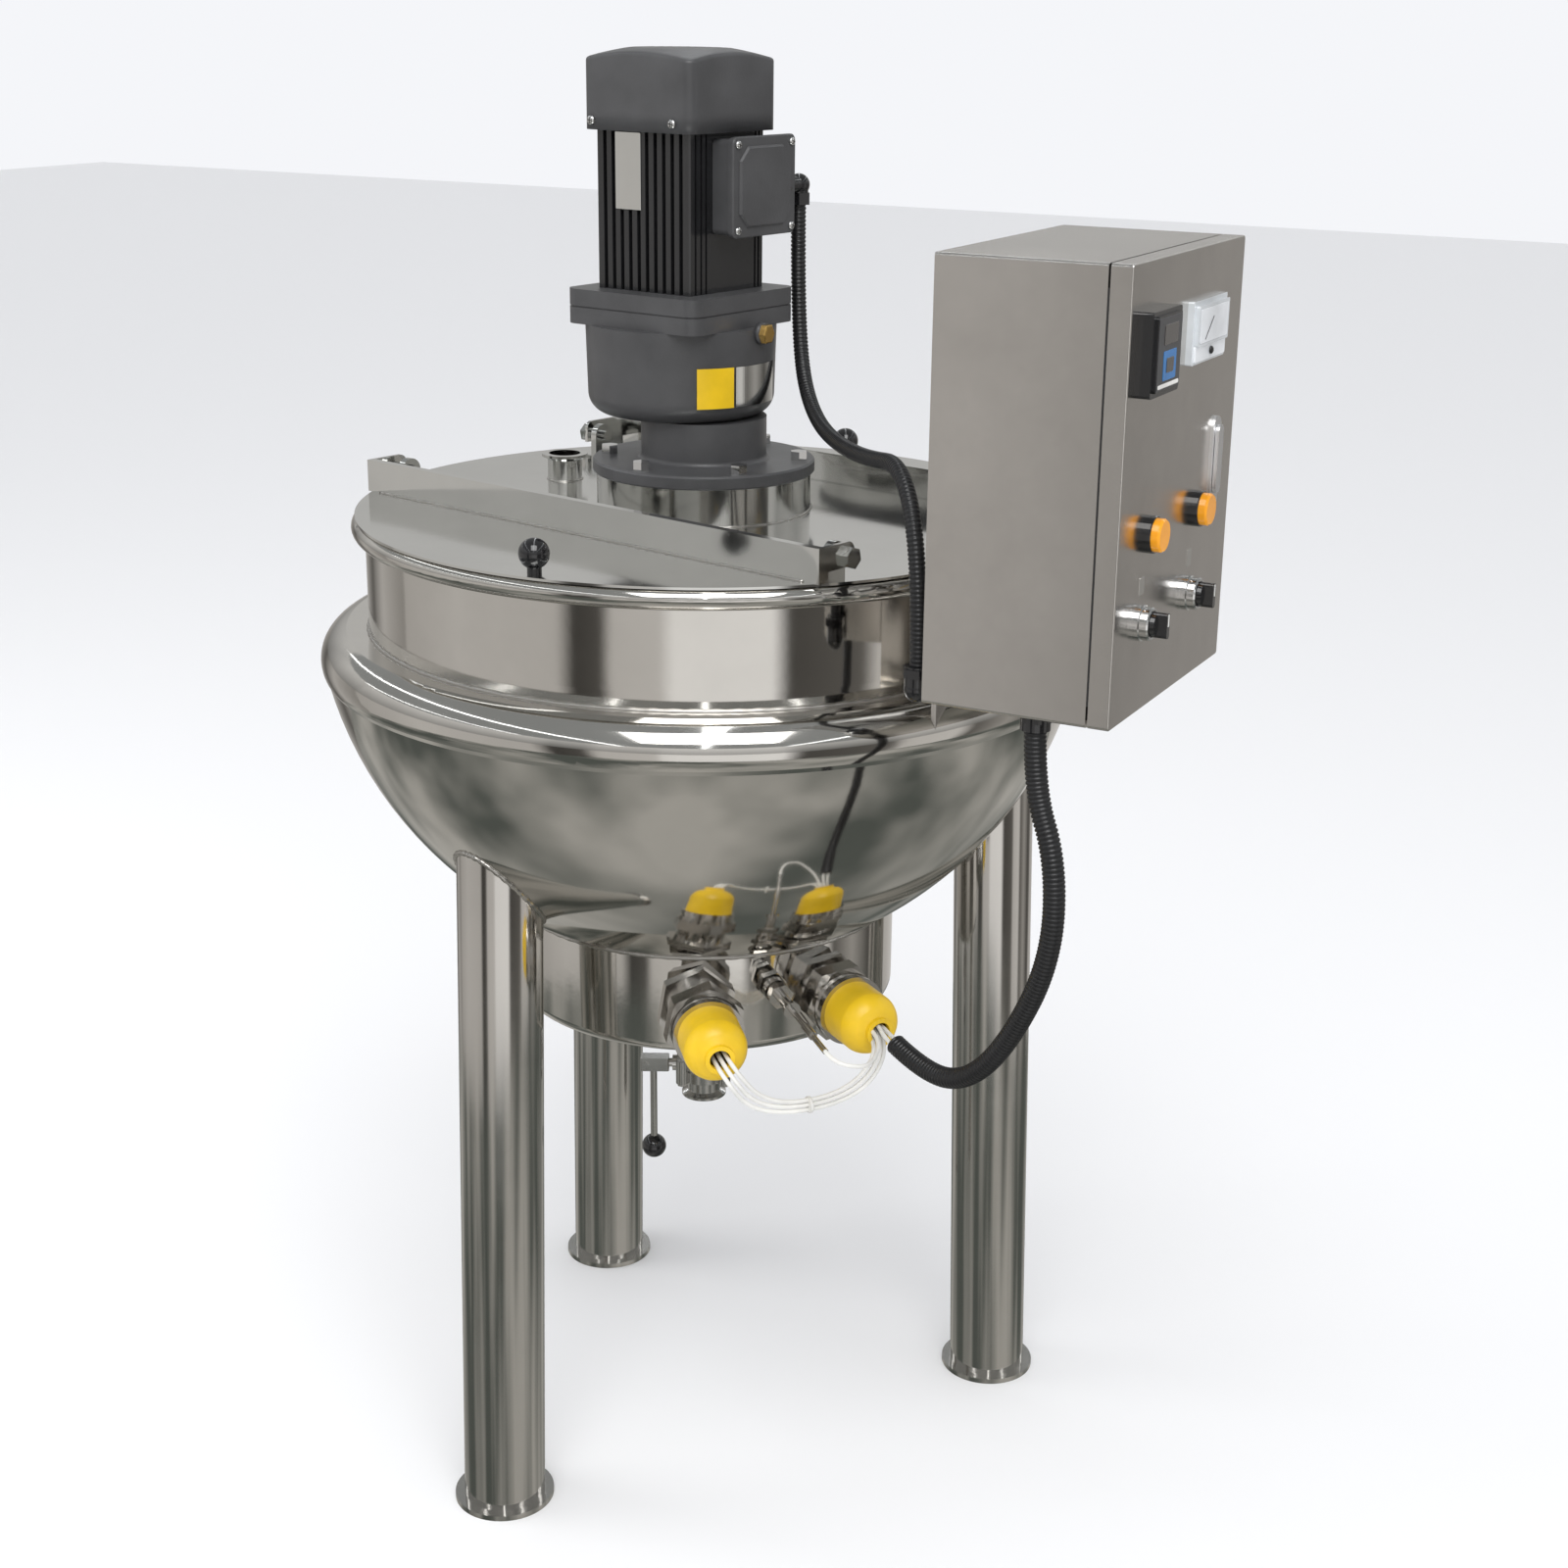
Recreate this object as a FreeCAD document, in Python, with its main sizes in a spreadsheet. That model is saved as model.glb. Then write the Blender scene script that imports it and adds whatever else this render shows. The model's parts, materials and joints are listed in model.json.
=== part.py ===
import FreeCAD, Part
import math
import os
import Sketcher

os.makedirs("parts", exist_ok=True)
V3 = FreeCAD.Vector
doc = FreeCAD.newDocument("jacketed_kettle")
sheet = doc.addObject("Spreadsheet::Sheet", "dims")

# Driving dimensions in millimetres, angles in degrees
DIMS = [
    ("shell_r", "356"), ("wall", "3"), ("shoulder_z", "937"), ("bulge_out", "49"),
    ("bead_r", "10"), ("bead_out", "4"), ("bead_z", "1046.5"), ("bowl_cz", "955"),
    ("dish_r", "412"), ("dish_cz", "981"), ("sump_r", "211.6"), ("sump_z", "518"),
    ("outlet_r", "19.05"), ("outlet_wall", "1.6"), ("leg_r", "44"), ("leg_wall", "2"),
    ("leg_lean", "1.5"), ("foot_r", "54"), ("foot_t", "6"),
    ("leg_f_x", "-74.5"), ("leg_f_y", "-313.5"), ("leg_r_x", "287.5"), ("leg_r_y", "189.5"),
    ("leg_b_x", "-257.5"), ("leg_b_y", "198.5"),
    ("lid_r", "366"), ("lid_t", "2.5"), ("lid_z", "1056.8"), ("bar_n", "192"), ("bar_l", "634"),
    ("bar_h", "34"), ("bar_t", "3"), ("plate_l", "52"), ("pin_n", "149"), ("pin_z", "1078.5"),
    ("pin_r", "6"), ("bar_angle", "-12.5"), ("knob_r", "15"),
    ("ring_r", "113"), ("ring_h", "39"), ("flange_r", "117"), ("flange_h", "14"),
    ("neck_r", "66"), ("neck_h", "45"), ("gear_r", "100"), ("gear_h", "95"), ("gear_off", "32"),
    ("adapter_w", "173"), ("adapter_h", "35.5"), ("motor_w", "121.5"), ("motor_h", "158.5"),
    ("drive_angle", "-8.8"),
    ("fin_pitch", "7.2"), ("fin_gap", "3.6"), ("fin_depth", "6"), ("dome_r", "238"),
    ("fan_w", "142"), ("fan_h", "79.7"), ("fan_wall", "2.5"), ("tbox_w", "92"), ("tbox_h", "95"), ("tbox_d", "33"),
    ("nozzle_r", "19.05"), ("nozzle_h", "29"), ("ferrule_r", "25.25"),
    ("heat_z", "578"), ("socket_r", "31"), ("union_r", "37"), ("nut_af", "74"), ("nut_h", "20"),
    ("cap_r", "32.5"), ("cap_l", "60"), ("cap_hole", "10.5"), ("post_r", "10"), ("post_gap", "34"),
    ("box_x", "387"), ("box_y", "-282.5"), ("box_z", "970.4"),
    ("box_w", "300"), ("box_h", "400"), ("box_d", "157"), ("box_wall", "1.5"), ("box_lip", "14"),
    ("door_d", "20"), ("door_gap", "2"), ("meter_h", "56"), ("ctrl_w", "72"),
    ("lamp_r", "16"), ("lamp_l", "16"), ("dial_r", "12"), ("conduit_r", "10.5"), ("motor_tube_r", "8"),
    ("lead_r", "2.2"), ("valve_z", "409"), ("valve_r", "31"), ("rod_r", "4"), ("ball_r", "14"),
    ("shaft_r", "15"), ("anchor_r", "338"), ("anchor_w", "38"), ("anchor_t", "8"),
]
for row, (alias, value) in enumerate(DIMS, 1):
    sheet.set("A%d" % row, alias)
    sheet.set("B%d" % row, value)
    sheet.setAlias("B%d" % row, alias)
doc.recompute()
D = {alias: float(sheet.get(alias)) for alias, value in DIMS}
WORDS = sorted(D, key=len, reverse=True)


def bound(text):
    """Turn an expression of aliases into one that reads the sheet."""
    out = ""
    word = ""
    for ch in text + " ":
        if ch.isalnum() or ch == "_":
            word += ch
            continue
        out += ("dims." + word) if word in D else word
        word = ""
        out += ch
    return out.strip()


def tie(obj, **props):
    for prop, text in props.items():
        obj.setExpression(prop, bound(text))
    return obj


def place(obj, at, axis=(0, 0, 1), spin=0.0):
    turn = FreeCAD.Rotation(V3(0, 0, 1), V3(*axis))
    if spin:
        turn = turn.multiply(FreeCAD.Rotation(V3(0, 0, 1), spin))
    obj.Placement = FreeCAD.Placement(V3(*at), turn)
    return obj


def cyl(r, h, at, axis=(0, 0, 1)):
    o = doc.addObject("Part::Cylinder", "rod")
    tie(o, Radius=r, Height=h)
    return place(o, at, axis)


def cone(r1, r2, h, at, axis=(0, 0, 1)):
    o = doc.addObject("Part::Cone", "taper")
    tie(o, Radius1=r1, Radius2=r2, Height=h)
    return place(o, at, axis)


def ball(r, at):
    o = doc.addObject("Part::Sphere", "ball")
    tie(o, Radius=r)
    return place(o, at)


def box(lx, ly, lz, at, spin=0.0):
    """Box with its corner at the given point, turned about the vertical."""
    o = doc.addObject("Part::Box", "block")
    tie(o, Length=lx, Width=ly, Height=lz)
    turn = FreeCAD.Rotation(V3(0, 0, 1), spin)
    o.Placement = FreeCAD.Placement(V3(*at), turn)
    return o


def cut(base, tool):
    o = doc.addObject("Part::Cut", "cut")
    o.Base = base
    o.Tool = tool
    return o


def common(a, b):
    o = doc.addObject("Part::Common", "common")
    o.Base = a
    o.Tool = b
    return o


def fuse(*parts):
    o = doc.addObject("Part::MultiFuse", "fuse")
    o.Shapes = list(parts)
    return o


def rounded(obj, radius, picks):
    """Fillet the edges for which picks is true."""
    doc.recompute()
    edges = [(i + 1, radius, radius) for i, e in enumerate(obj.Shape.Edges) if picks(e)]
    o = doc.addObject("Part::Fillet", "fillet")
    o.Base = obj
    o.Edges = edges
    return o


def hexagon(af, h, at, axis=(0, 0, 1)):
    o = doc.addObject("Part::Prism", "hex")
    o.Polygon = 6
    tie(o, Circumradius="(%s) / sqrt(3)" % af, Height=h)
    return place(o, at, axis)


def along(way):
    """Picker of the straight edges that run along a direction."""
    def picks(e):
        if len(e.Vertexes) != 2 or e.Curve.TypeId != "Part::GeomLine":
            return False
        d = e.Vertexes[1].Point - e.Vertexes[0].Point
        return d.cross(way).Length < 1e-6 * d.Length
    return picks


def bevelled(obj, size, picks):
    """Chamfer the edges for which picks is true."""
    doc.recompute()
    edges = [(i + 1, size, size) for i, e in enumerate(obj.Shape.Edges) if picks(e)]
    o = doc.addObject("Part::Chamfer", "bevel")
    o.Base = obj
    o.Edges = edges
    return o


def upright(e):
    if len(e.Vertexes) != 2:
        return False
    a, b = e.Vertexes[0].Point, e.Vertexes[1].Point
    return abs(a.x - b.x) < 1e-3 and abs(a.y - b.y) < 1e-3


NODES = {}


def node(name, obj):
    obj.Label = name
    NODES[name] = obj
    return obj


def turned(name, path):
    """Body of revolution about the vertical axis from a closed profile.

    path holds vertices (r, z) as expressions, with ("arc", radius, bulge) between two
    vertices for a curved side, bulge +1 or -1 for the side it curves to.
    """
    body = doc.addObject("PartDesign::Body", name)
    sk = body.newObject("Sketcher::SketchObject", name + "_profile")
    sk.AttachmentSupport = [(body.Origin.OriginFeatures[4], "")]
    sk.MapMode = "FlatFace"
    verts = [p for p in path if p[0] != "arc"]
    probe = doc.addObject("Spreadsheet::Sheet", "probe")
    for i, (r, z) in enumerate(verts, 1):
        probe.set("A%d" % i, "=" + bound(r))
        probe.set("B%d" % i, "=" + bound(z))
    arcs = [p for p in path if p[0] == "arc"]
    for i, a in enumerate(arcs, 1):
        probe.set("C%d" % i, "=" + bound(a[1]))
    doc.recompute()
    num = [(float(probe.get("A%d" % i)), float(probe.get("B%d" % i)))
           for i in range(1, len(verts) + 1)]
    rad = [float(probe.get("C%d" % i)) for i in range(1, len(arcs) + 1)]
    doc.removeObject(probe.Name)
    edges = []
    vi = -1
    ai = 0
    pending = None
    for p in path + [path[0]]:
        if p[0] == "arc":
            pending = (rad[ai], p[2], p[1])
            ai += 1
            continue
        vi += 1
        if vi > 0:
            edges.append(((vi - 1) % len(num), vi % len(num), pending))
            pending = None
    ids = []
    for a, b, arc in edges:
        pa = V3(num[a][0], num[a][1], 0)
        pb = V3(num[b][0], num[b][1], 0)
        if arc:
            r, side, text = arc
            mid = (pa + pb) * 0.5
            half = (pb - pa).Length / 2
            across = V3(-(pb - pa).y, (pb - pa).x, 0).normalize()
            sag = r - math.sqrt(max(r * r - half * half, 0.0))
            g = sk.addGeometry(Part.Arc(pa, mid + across * (sag * side), pb), False)
            k = sk.addConstraint(Sketcher.Constraint("Radius", g, r))
            sk.setExpression("Constraints[%d]" % k, bound(text))
        else:
            g = sk.addGeometry(Part.LineSegment(pa, pb), False)
        first = sk.getPoint(g, 1)
        start = 1 if (first - pa).Length < 1e-4 else 2
        ids.append((g, start, 3 - start, a))
    for i, (g, start, end, a) in enumerate(ids):
        ng, nstart = ids[(i + 1) % len(ids)][:2]
        sk.addConstraint(Sketcher.Constraint("Coincident", g, end, ng, nstart))
    for g, start, end, a in ids:
        r, z = verts[a]
        if abs(num[a][0]) < 1e-9:
            sk.addConstraint(Sketcher.Constraint("PointOnObject", g, start, -2))
        else:
            k = sk.addConstraint(Sketcher.Constraint("DistanceX", -1, 1, g, start, num[a][0]))
            sk.setExpression("Constraints[%d]" % k, bound(r))
        k = sk.addConstraint(Sketcher.Constraint("DistanceY", -1, 1, g, start, num[a][1]))
        sk.setExpression("Constraints[%d]" % k, bound(z))
    rev = body.newObject("PartDesign::Revolution", name + "_turn")
    rev.Profile = (sk, [])
    rev.ReferenceAxis = (sk, ["V_Axis"])
    rev.Angle = 360
    body.Tip = rev
    return body


ANG = math.radians(D["bar_angle"])
U = V3(math.cos(ANG), math.sin(ANG), 0)
N = V3(-math.sin(ANG), math.cos(ANG), 0)


def lid_point(t, n, z):
    """Point t along the lid bars, n across them, at height z."""
    p = U * t + N * n
    return (p.x, p.y, z)


def lid_box(lt, ln, lz, t, n, z):
    """Box aligned with the lid bars, corner at t, n, z."""
    return box(lt, ln, lz, lid_point(t, n, z), D["bar_angle"])


# Pot with a rolled rim and a round bottom that opens into the outlet pipe
POT_LOW = "bowl_cz - sqrt(shell_r^2 - (outlet_r - outlet_wall)^2)"
pot = turned("pot", [
    ("shell_r", "bead_z - bead_r"), ("arc", "bead_r + 0.9", -1),
    ("shell_r + bead_out + bead_r", "bead_z"), ("arc", "bead_r + 0.2", -1),
    ("shell_r + bead_out", "bead_z + bead_r"), ("arc", "bead_r + 0.2", -1),
    ("shell_r - wall", "bead_z - 4"),
    ("shell_r - wall", "bowl_cz"), ("arc", "shell_r - wall", 1),
    ("outlet_r - outlet_wall", "bowl_cz - sqrt((shell_r - wall)^2 - (outlet_r - outlet_wall)^2)"),
    ("outlet_r - outlet_wall", POT_LOW), ("arc", "shell_r", -1),
    ("shell_r", "bowl_cz")])
node("inner_pot", pot)

# Jacket around the lower half, rolled shoulder above and dished below
jacket = turned("jacket_body", [
    ("shell_r", "shoulder_z"), ("shell_r + 24", "shoulder_z + 1"), ("arc", "32", 1),
    ("shell_r + bulge_out", "shoulder_z - 43"),
    ("sqrt(dish_r^2 - (dish_cz - shoulder_z + 48)^2)", "shoulder_z - 48"),
    ("arc", "dish_r", 1),
    ("sump_r", "dish_cz - sqrt(dish_r^2 - sump_r^2)"),
    ("sump_r - wall", "dish_cz - sqrt(dish_r^2 - sump_r^2) + 2"), ("arc", "dish_r - wall", -1),
    ("sqrt((dish_r - wall)^2 - (dish_cz - shoulder_z + 48)^2)", "shoulder_z - 48"),
    ("shell_r + bulge_out - wall", "shoulder_z - 43"), ("arc", "29", -1),
    ("shell_r + 24", "shoulder_z - 2"), ("shell_r", "shoulder_z - 3")])
node("jacket", jacket)

# Oil sump, a short drum closed at the bottom round the outlet pipe
TOP = "dish_cz - sqrt(dish_r^2 - sump_r^2)"
sump = turned("sump_body", [
    ("sump_r", TOP), ("sump_r", "sump_z + 12"), ("arc", "12", 1), ("sump_r - 12", "sump_z"),
    ("outlet_r + 0.2", "sump_z"), ("outlet_r + 0.2", "sump_z + wall"),
    ("sump_r - 12", "sump_z + wall"), ("arc", "9", -1), ("sump_r - wall", "sump_z + 12"), ("sump_r - wall", TOP)])
node("sump", sump)

# Three tube legs on round foot plates, leaning in a little towards the top
doc.recompute()
dish = ball("dish_r", (0, 0, D["dish_cz"]))
LEAN = math.tan(math.radians(D["leg_lean"]))
SUNK = 40
for tag, ax, ay in (("front", "leg_f_x", "leg_f_y"), ("right", "leg_r_x", "leg_r_y"),
                    ("back", "leg_b_x", "leg_b_y")):
    x, y = D[ax], D[ay]
    r = math.hypot(x, y)
    axis = (-x / r * LEAN, -y / r * LEAN, 1)
    low = (x - axis[0] * SUNK, y - axis[1] * SUNK, -SUNK)
    tube = cut(cyl("leg_r", "880", low, axis), cyl("leg_r - leg_wall", "880", low, axis))
    below = box("1000", "1000", "200", (-500, -500, D["foot_t"] - 200))
    foot = cyl("foot_r", "foot_t", (x, y, 0))
    node("leg_" + tag, fuse(cut(cut(tube, below), dish), foot))

# Fixed strip of the lid between the two bars
LZ = D["lid_z"]
TOPZ = LZ + D["lid_t"]
BN = D["bar_n"]
BL = D["bar_l"]
PORT_T, PORT_N = -211, 2
disc = cyl("lid_r", "lid_t", (0, 0, LZ))
strip = common(disc, lid_box("760", "2 * bar_n - 12", "lid_t", -380, -BN + 6, LZ))
hole = cyl("ring_r - 6", "20", (0, 0, LZ - 5))
port = cyl("nozzle_r - 1.6", "20", lid_point(PORT_T, PORT_N, LZ - 5))
node("lid_bridge", cut(cut(strip, hole), port))

# Four welded lugs on the strip that hold the hinge pins
PN = D["pin_n"]
PZ = D["pin_z"]
LUG = BL / 2 - 22
LUG_T = 8
ALONG = (U.x, U.y, 0)
lugs = []
for st in (-1, 1):
    t0 = LUG if st > 0 else -LUG - LUG_T
    for sn in (-1, 1):
        post = lid_box("8", "26", "pin_z - lid_z - lid_t", t0, sn * PN - 13, TOPZ)
        head = cyl("13", "8", lid_point(t0, sn * PN, PZ), ALONG)
        bore = cyl("pin_r + 0.15", "12", lid_point(t0 - 2, sn * PN, PZ), ALONG)
        lugs.append(cut(fuse(post, head), bore))
node("hinge_lugs", fuse(*lugs))

# Hinged half covers, each with a bar, end plates, hinge pins and a ball knob
KNOBS = {"front": (14, -345), "back": (3, 331)}
for tag, sn in (("front", -1), ("back", 1)):
    edge = -BN - 295 if sn < 0 else BN - 5
    half = lid_box("760", "300", "lid_t", -380, edge, LZ)
    node(tag + "_lid", common(cyl("lid_r", "lid_t", (0, 0, LZ)), half))
    n0 = -BN if sn < 0 else BN - D["bar_t"]
    web = lid_box("bar_l", "bar_t", "bar_h", -BL / 2, n0, TOPZ)
    flip = lid_box("bar_l", "9", "2", -BL / 2, n0 if sn < 0 else n0 - 6, TOPZ + D["bar_h"] - 2)
    parts = [web, flip]
    for st in (-1, 1):
        t0 = BL / 2 - 4 if st > 0 else -BL / 2
        p0 = -BN if sn < 0 else BN - D["plate_l"]
        plate = lid_box("4", "plate_l", "bar_h", t0, p0, TOPZ)
        plate = rounded(plate, 9, along(V3(*ALONG)))
        notch = lid_box("8", "46", "11", t0 - 2, -BN + 14 if sn < 0 else BN - 60, TOPZ - 1)
        parts.append(cut(plate, notch))
        ta = LUG - 6 if st > 0 else -LUG - 24
        parts.append(cyl("pin_r", "30", lid_point(ta, sn * PN, PZ), ALONG))
        tb = BL / 2 if st > 0 else -BL / 2 - 7
        parts.append(hexagon("19", "7", lid_point(tb, sn * PN, PZ), ALONG))
    node(tag + "_bar", fuse(*parts))
    kx, ky = KNOBS[tag]
    stem = cyl("7", "6", (kx, ky, TOPZ))
    node(tag + "_knob", fuse(stem, ball("knob_r", (kx, ky, TOPZ + 3 + D["knob_r"]))))

# Sampling nozzle with its clamp ferrule on the strip
nx, ny, nz = lid_point(PORT_T, PORT_N, TOPZ)
rim_z = nz + D["nozzle_h"] - 3
rim = fuse(cyl("nozzle_r", "nozzle_h", (nx, ny, nz)), cyl("ferrule_r", "3", (nx, ny, rim_z)),
           cone("nozzle_r", "ferrule_r", "3.4", (nx, ny, rim_z - 3.4)))
node("sample_nozzle", cut(rim, cyl("nozzle_r - 1.6", "60", (nx, ny, nz - 9))))

# Ring on the strip and the gear flange with its flared neck
FZ = TOPZ + D["ring_h"]
ring = cut(cyl("ring_r", "ring_h", (0, 0, TOPZ)), cyl("ring_r - 6", "ring_h", (0, 0, TOPZ)))
node("motor_base_ring", ring)
neck = turned("neck_body", [
    ("0", "0"), ("flange_r - 2", "0"), ("flange_r", "2"), ("flange_r", "flange_h - 2"),
    ("flange_r - 2", "flange_h"), ("neck_r + 5", "flange_h"), ("arc", "5", 1),
    ("neck_r", "flange_h + 5"), ("neck_r", "flange_h + neck_h - 1"),
    ("0", "flange_h + neck_h - 1")])
neck.Placement = FreeCAD.Placement(V3(0, 0, FZ), FreeCAD.Rotation())
node("gear_flange", neck)
DA = math.radians(D["drive_angle"])
DU = V3(math.cos(DA), math.sin(DA), 0)
DN = V3(-math.sin(DA), math.cos(DA), 0)
BOLTS = 6
FIRST_BOLT = -39.6
bolts = []
for k in range(BOLTS):
    a = math.radians(FIRST_BOLT + 360 / BOLTS * k)
    at = (101 * math.cos(a), 101 * math.sin(a), FZ + D["flange_h"])
    bolts.append(hexagon("16", "9", at))
node("flange_bolts", fuse(*bolts))

# Round gear case under a stepped square adapter, beside the kettle axis
M = U * -D["gear_off"]
GZ = FZ + D["flange_h"] + D["neck_h"] - 1
case = turned("gear_body", [
    ("0", "0"), ("gear_r - 24", "0"), ("arc", "22", -1), ("gear_r - 2", "22"),
    ("gear_r", "gear_h - 1"), ("0", "gear_h - 1")])
case.Placement = FreeCAD.Placement(V3(M.x, M.y, GZ), FreeCAD.Rotation())
AZ = GZ + D["gear_h"] - 1
node("gearbox", case)


def square(w, h, z, radius):
    """Square block over the gear case, with the sides of the motor."""
    probe = doc.addObject("Spreadsheet::Sheet", "probe")
    probe.set("A1", "=" + bound(w))
    doc.recompute()
    side = float(probe.get("A1"))
    doc.removeObject(probe.Name)
    c = M - DU * (side / 2) - DN * (side / 2)
    return rounded(box(w, w, h, (c.x, c.y, z), D["drive_angle"]), radius, upright)


SEAM = 1.6
MZ = AZ + D["adapter_h"]
node("motor_adapter", fuse(square("adapter_w", "adapter_h / 2 - 0.8", AZ, 16),
                           square("adapter_w - 3", "adapter_h", AZ, 15),
                           square("adapter_w", "adapter_h / 2 - 0.8",
                                  MZ - D["adapter_h"] / 2 + SEAM / 2, 16)))

# Motor with cooling fins cut into its four sides
CZ = MZ + D["motor_h"]
HALF = D["motor_w"] / 2
TB_LOW, TB_N = 1342, -25
grooves = []
steps = int((HALF - 9) / D["fin_pitch"])
for i in range(-steps, steps + 1):
    shift = i * D["fin_pitch"] - D["fin_gap"] / 2
    for side in range(4):
        if side == 0 and shift > TB_N - 10:
            continue
        spin = D["drive_angle"] + 90 * side
        out = V3(math.cos(math.radians(spin)), math.sin(math.radians(spin)), 0)
        over = V3(-out.y, out.x, 0)
        at = M + out * (HALF - D["fin_depth"]) + over * shift
        grooves.append(box("fin_depth + 2", "fin_gap", "motor_h - 5", (at.x, at.y, MZ + 2.5), spin))
motor = fuse(square("motor_w", "motor_h", MZ, 5), square("fan_w - 2 * fan_wall", "8", CZ, 11))
node("motor_body", cut(motor, fuse(*grooves)))

# Domed sheet cover over the fan
DOME = CZ + D["fan_h"] - D["dome_r"]
shell = common(square("fan_w", "fan_h + 1", CZ, 14), ball("dome_r", (M.x, M.y, DOME)))
space = common(square("fan_w - 2 * fan_wall", "fan_h", CZ - 1, 11),
               ball("dome_r - fan_wall", (M.x, M.y, DOME)))
node("fan_cover", cut(shell, space))

# Terminal box on the motor with a raised eight-sided cover
mp = M + DU * HALF + DN * TB_N
block = box("tbox_d", "tbox_w", "tbox_h", (mp.x, mp.y, TB_LOW), D["drive_angle"])
node("terminal_box", rounded(block, 6, along(DU)))
mp = M + DU * (HALF + D["tbox_d"]) + DN * TB_N
plate = rounded(box("3", "tbox_w", "tbox_h", (mp.x, mp.y, TB_LOW), D["drive_angle"]), 6, along(DU))
mp = mp + DN * 8
panel = box("7", "tbox_w - 16", "tbox_h - 16", (mp.x, mp.y, TB_LOW + 8), D["drive_angle"])
node("terminal_cover", fuse(plate, bevelled(panel, 10, along(DU))))

# Elbow gland on the side of the terminal box, looking down
gp = M + DU * (HALF + 15) + DN * (D["tbox_w"] + TB_N)
REACH = 35
ge = gp + DN * REACH
GLAND_Z = 1388
OUTWARD = (DN.x, DN.y, 0)
node("motor_gland", fuse(hexagon("24", "7", (gp.x, gp.y, GLAND_Z), OUTWARD),
                         cyl("9", str(REACH), (gp.x, gp.y, GLAND_Z), OUTWARD),
                         ball("11.5", (ge.x, ge.y, GLAND_Z)),
                         hexagon("22", "12", (ge.x, ge.y, GLAND_Z - 20)),
                         cyl("10", "20", (ge.x, ge.y, GLAND_Z), (0, 0, -1))))

# Two heaters screwed into the sump, each with a union ring and a domed plastic cap
HZ = D["heat_z"]
HEATERS = (("1", (189.6, -299.7), -50.0, 145.0), ("2", (299.2, -163.1), -35.0, 130.0))
HOLE = {}
for tag, end, az, length in HEATERS:
    way = V3(math.cos(math.radians(az)), math.sin(math.radians(az)), 0)
    face = V3(end[0], end[1], HZ)
    HOLE[tag] = (face, way)

    def back(d):
        p = face - way * d
        return (p.x, p.y, p.z)
    seat = D["cap_l"] + 22 + D["nut_h"]
    out = (way.x, way.y, 0)
    stem = cyl("socket_r", "%g" % (length - seat + 12), back(length + 12), out)
    stem = fuse(stem, hexagon("nut_af", "14", back(length - 2), out),
                hexagon("nut_af", "nut_h", back(seat), out),
                cyl("union_r - 2", "22", back(D["cap_l"] + 22), out),
                cyl("union_r", "8", back(D["cap_l"] + 22), out),
                cyl("union_r", "8", back(D["cap_l"] + 8), out))
    stem = cut(cut(stem, cyl("sump_r", "300", (0, 0, HZ - 150))), ball("dish_r", (0, 0, D["dish_cz"])))
    node("heater_socket_" + tag, fuse(stem, cyl("post_r", "cap_l - post_gap", back(D["cap_l"]), out)))
    cap = turned("cap_body_" + tag, [
        ("cap_r - 3", "0"), ("cap_r", "0"), ("cap_r", "34"), ("arc", "25", -1), ("cap_r - 9", "50"),
        ("15", "55"), ("15", "cap_l"), ("cap_hole", "cap_l"), ("cap_hole", "52"),
        ("cap_r - 12", "48"), ("arc", "22", 1), ("cap_r - 3", "34")])
    cap.Placement = FreeCAD.Placement(V3(*back(D["cap_l"])), FreeCAD.Rotation(V3(0, 0, 1), way))
    node("heater_cap_" + tag, cap)

# Temperature probe between the heaters
PROBE_AZ = math.radians(-42.0)
DIP = math.radians(-2.6)
PROBE = V3(math.cos(PROBE_AZ) * math.cos(DIP), math.sin(PROBE_AZ) * math.cos(DIP), math.sin(DIP))
entry = V3(D["sump_r"] * math.cos(PROBE_AZ), D["sump_r"] * math.sin(PROBE_AZ), 598)


def probe_at(d):
    p = entry + PROBE * d
    return (p.x, p.y, p.z)


rim = tuple(PROBE)
probe = fuse(cyl("9", "46", probe_at(-6), rim), hexagon("27", "9", probe_at(7), rim),
             cyl("13", "9", probe_at(20), rim), hexagon("24", "9", probe_at(33), rim),
             cyl("6", "32", probe_at(40), rim), cyl("9", "5", probe_at(70), rim),
             cyl("3", "42", probe_at(74), rim), cyl("4.5", "22", probe_at(112), rim),
             cyl("3", "36", probe_at(133), rim))
node("sensor_probe", cut(probe, cyl("sump_r", "300", (0, 0, HZ - 150))))

# Outlet pipe, butterfly valve body and clamp ferrule under the sump
vz = D["valve_z"]
pipe = cut(cyl("outlet_r", POT_LOW + " - valve_z - 14", (0, 0, vz + 14)),
           cyl("outlet_r - outlet_wall", "400", (0, 0, vz)))
node("outlet_pipe", pipe)
STEM_AZ = math.radians(207.5)
RD = V3(math.cos(STEM_AZ), math.sin(STEM_AZ), 0)
disc_parts = [cyl("valve_r", "13", (0, 0, vz - 14)), cyl("valve_r", "13", (0, 0, vz + 1)),
              cyl("valve_r - 2", "28", (0, 0, vz - 14)), cyl("outlet_r", "20", (0, 0, vz - 32)),
              cyl("ferrule_r", "3", (0, 0, vz - 37)),
              cone("ferrule_r", "outlet_r", "3.4", (0, 0, vz - 34))]
EAR = D["valve_r"] + 3
for k in range(4):
    a = STEM_AZ + math.radians(45 + 90 * k)
    at = (EAR * math.cos(a), EAR * math.sin(a), vz - 14)
    disc_parts.append(cyl("7", "28", at))
    disc_parts.append(hexagon("10", "34", (at[0], at[1], vz - 17)))
sm = RD * 16
inlet = (RD.x, RD.y, 0)
disc_parts.append(cyl("9", "20", (sm.x, sm.y, vz), inlet))
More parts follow.
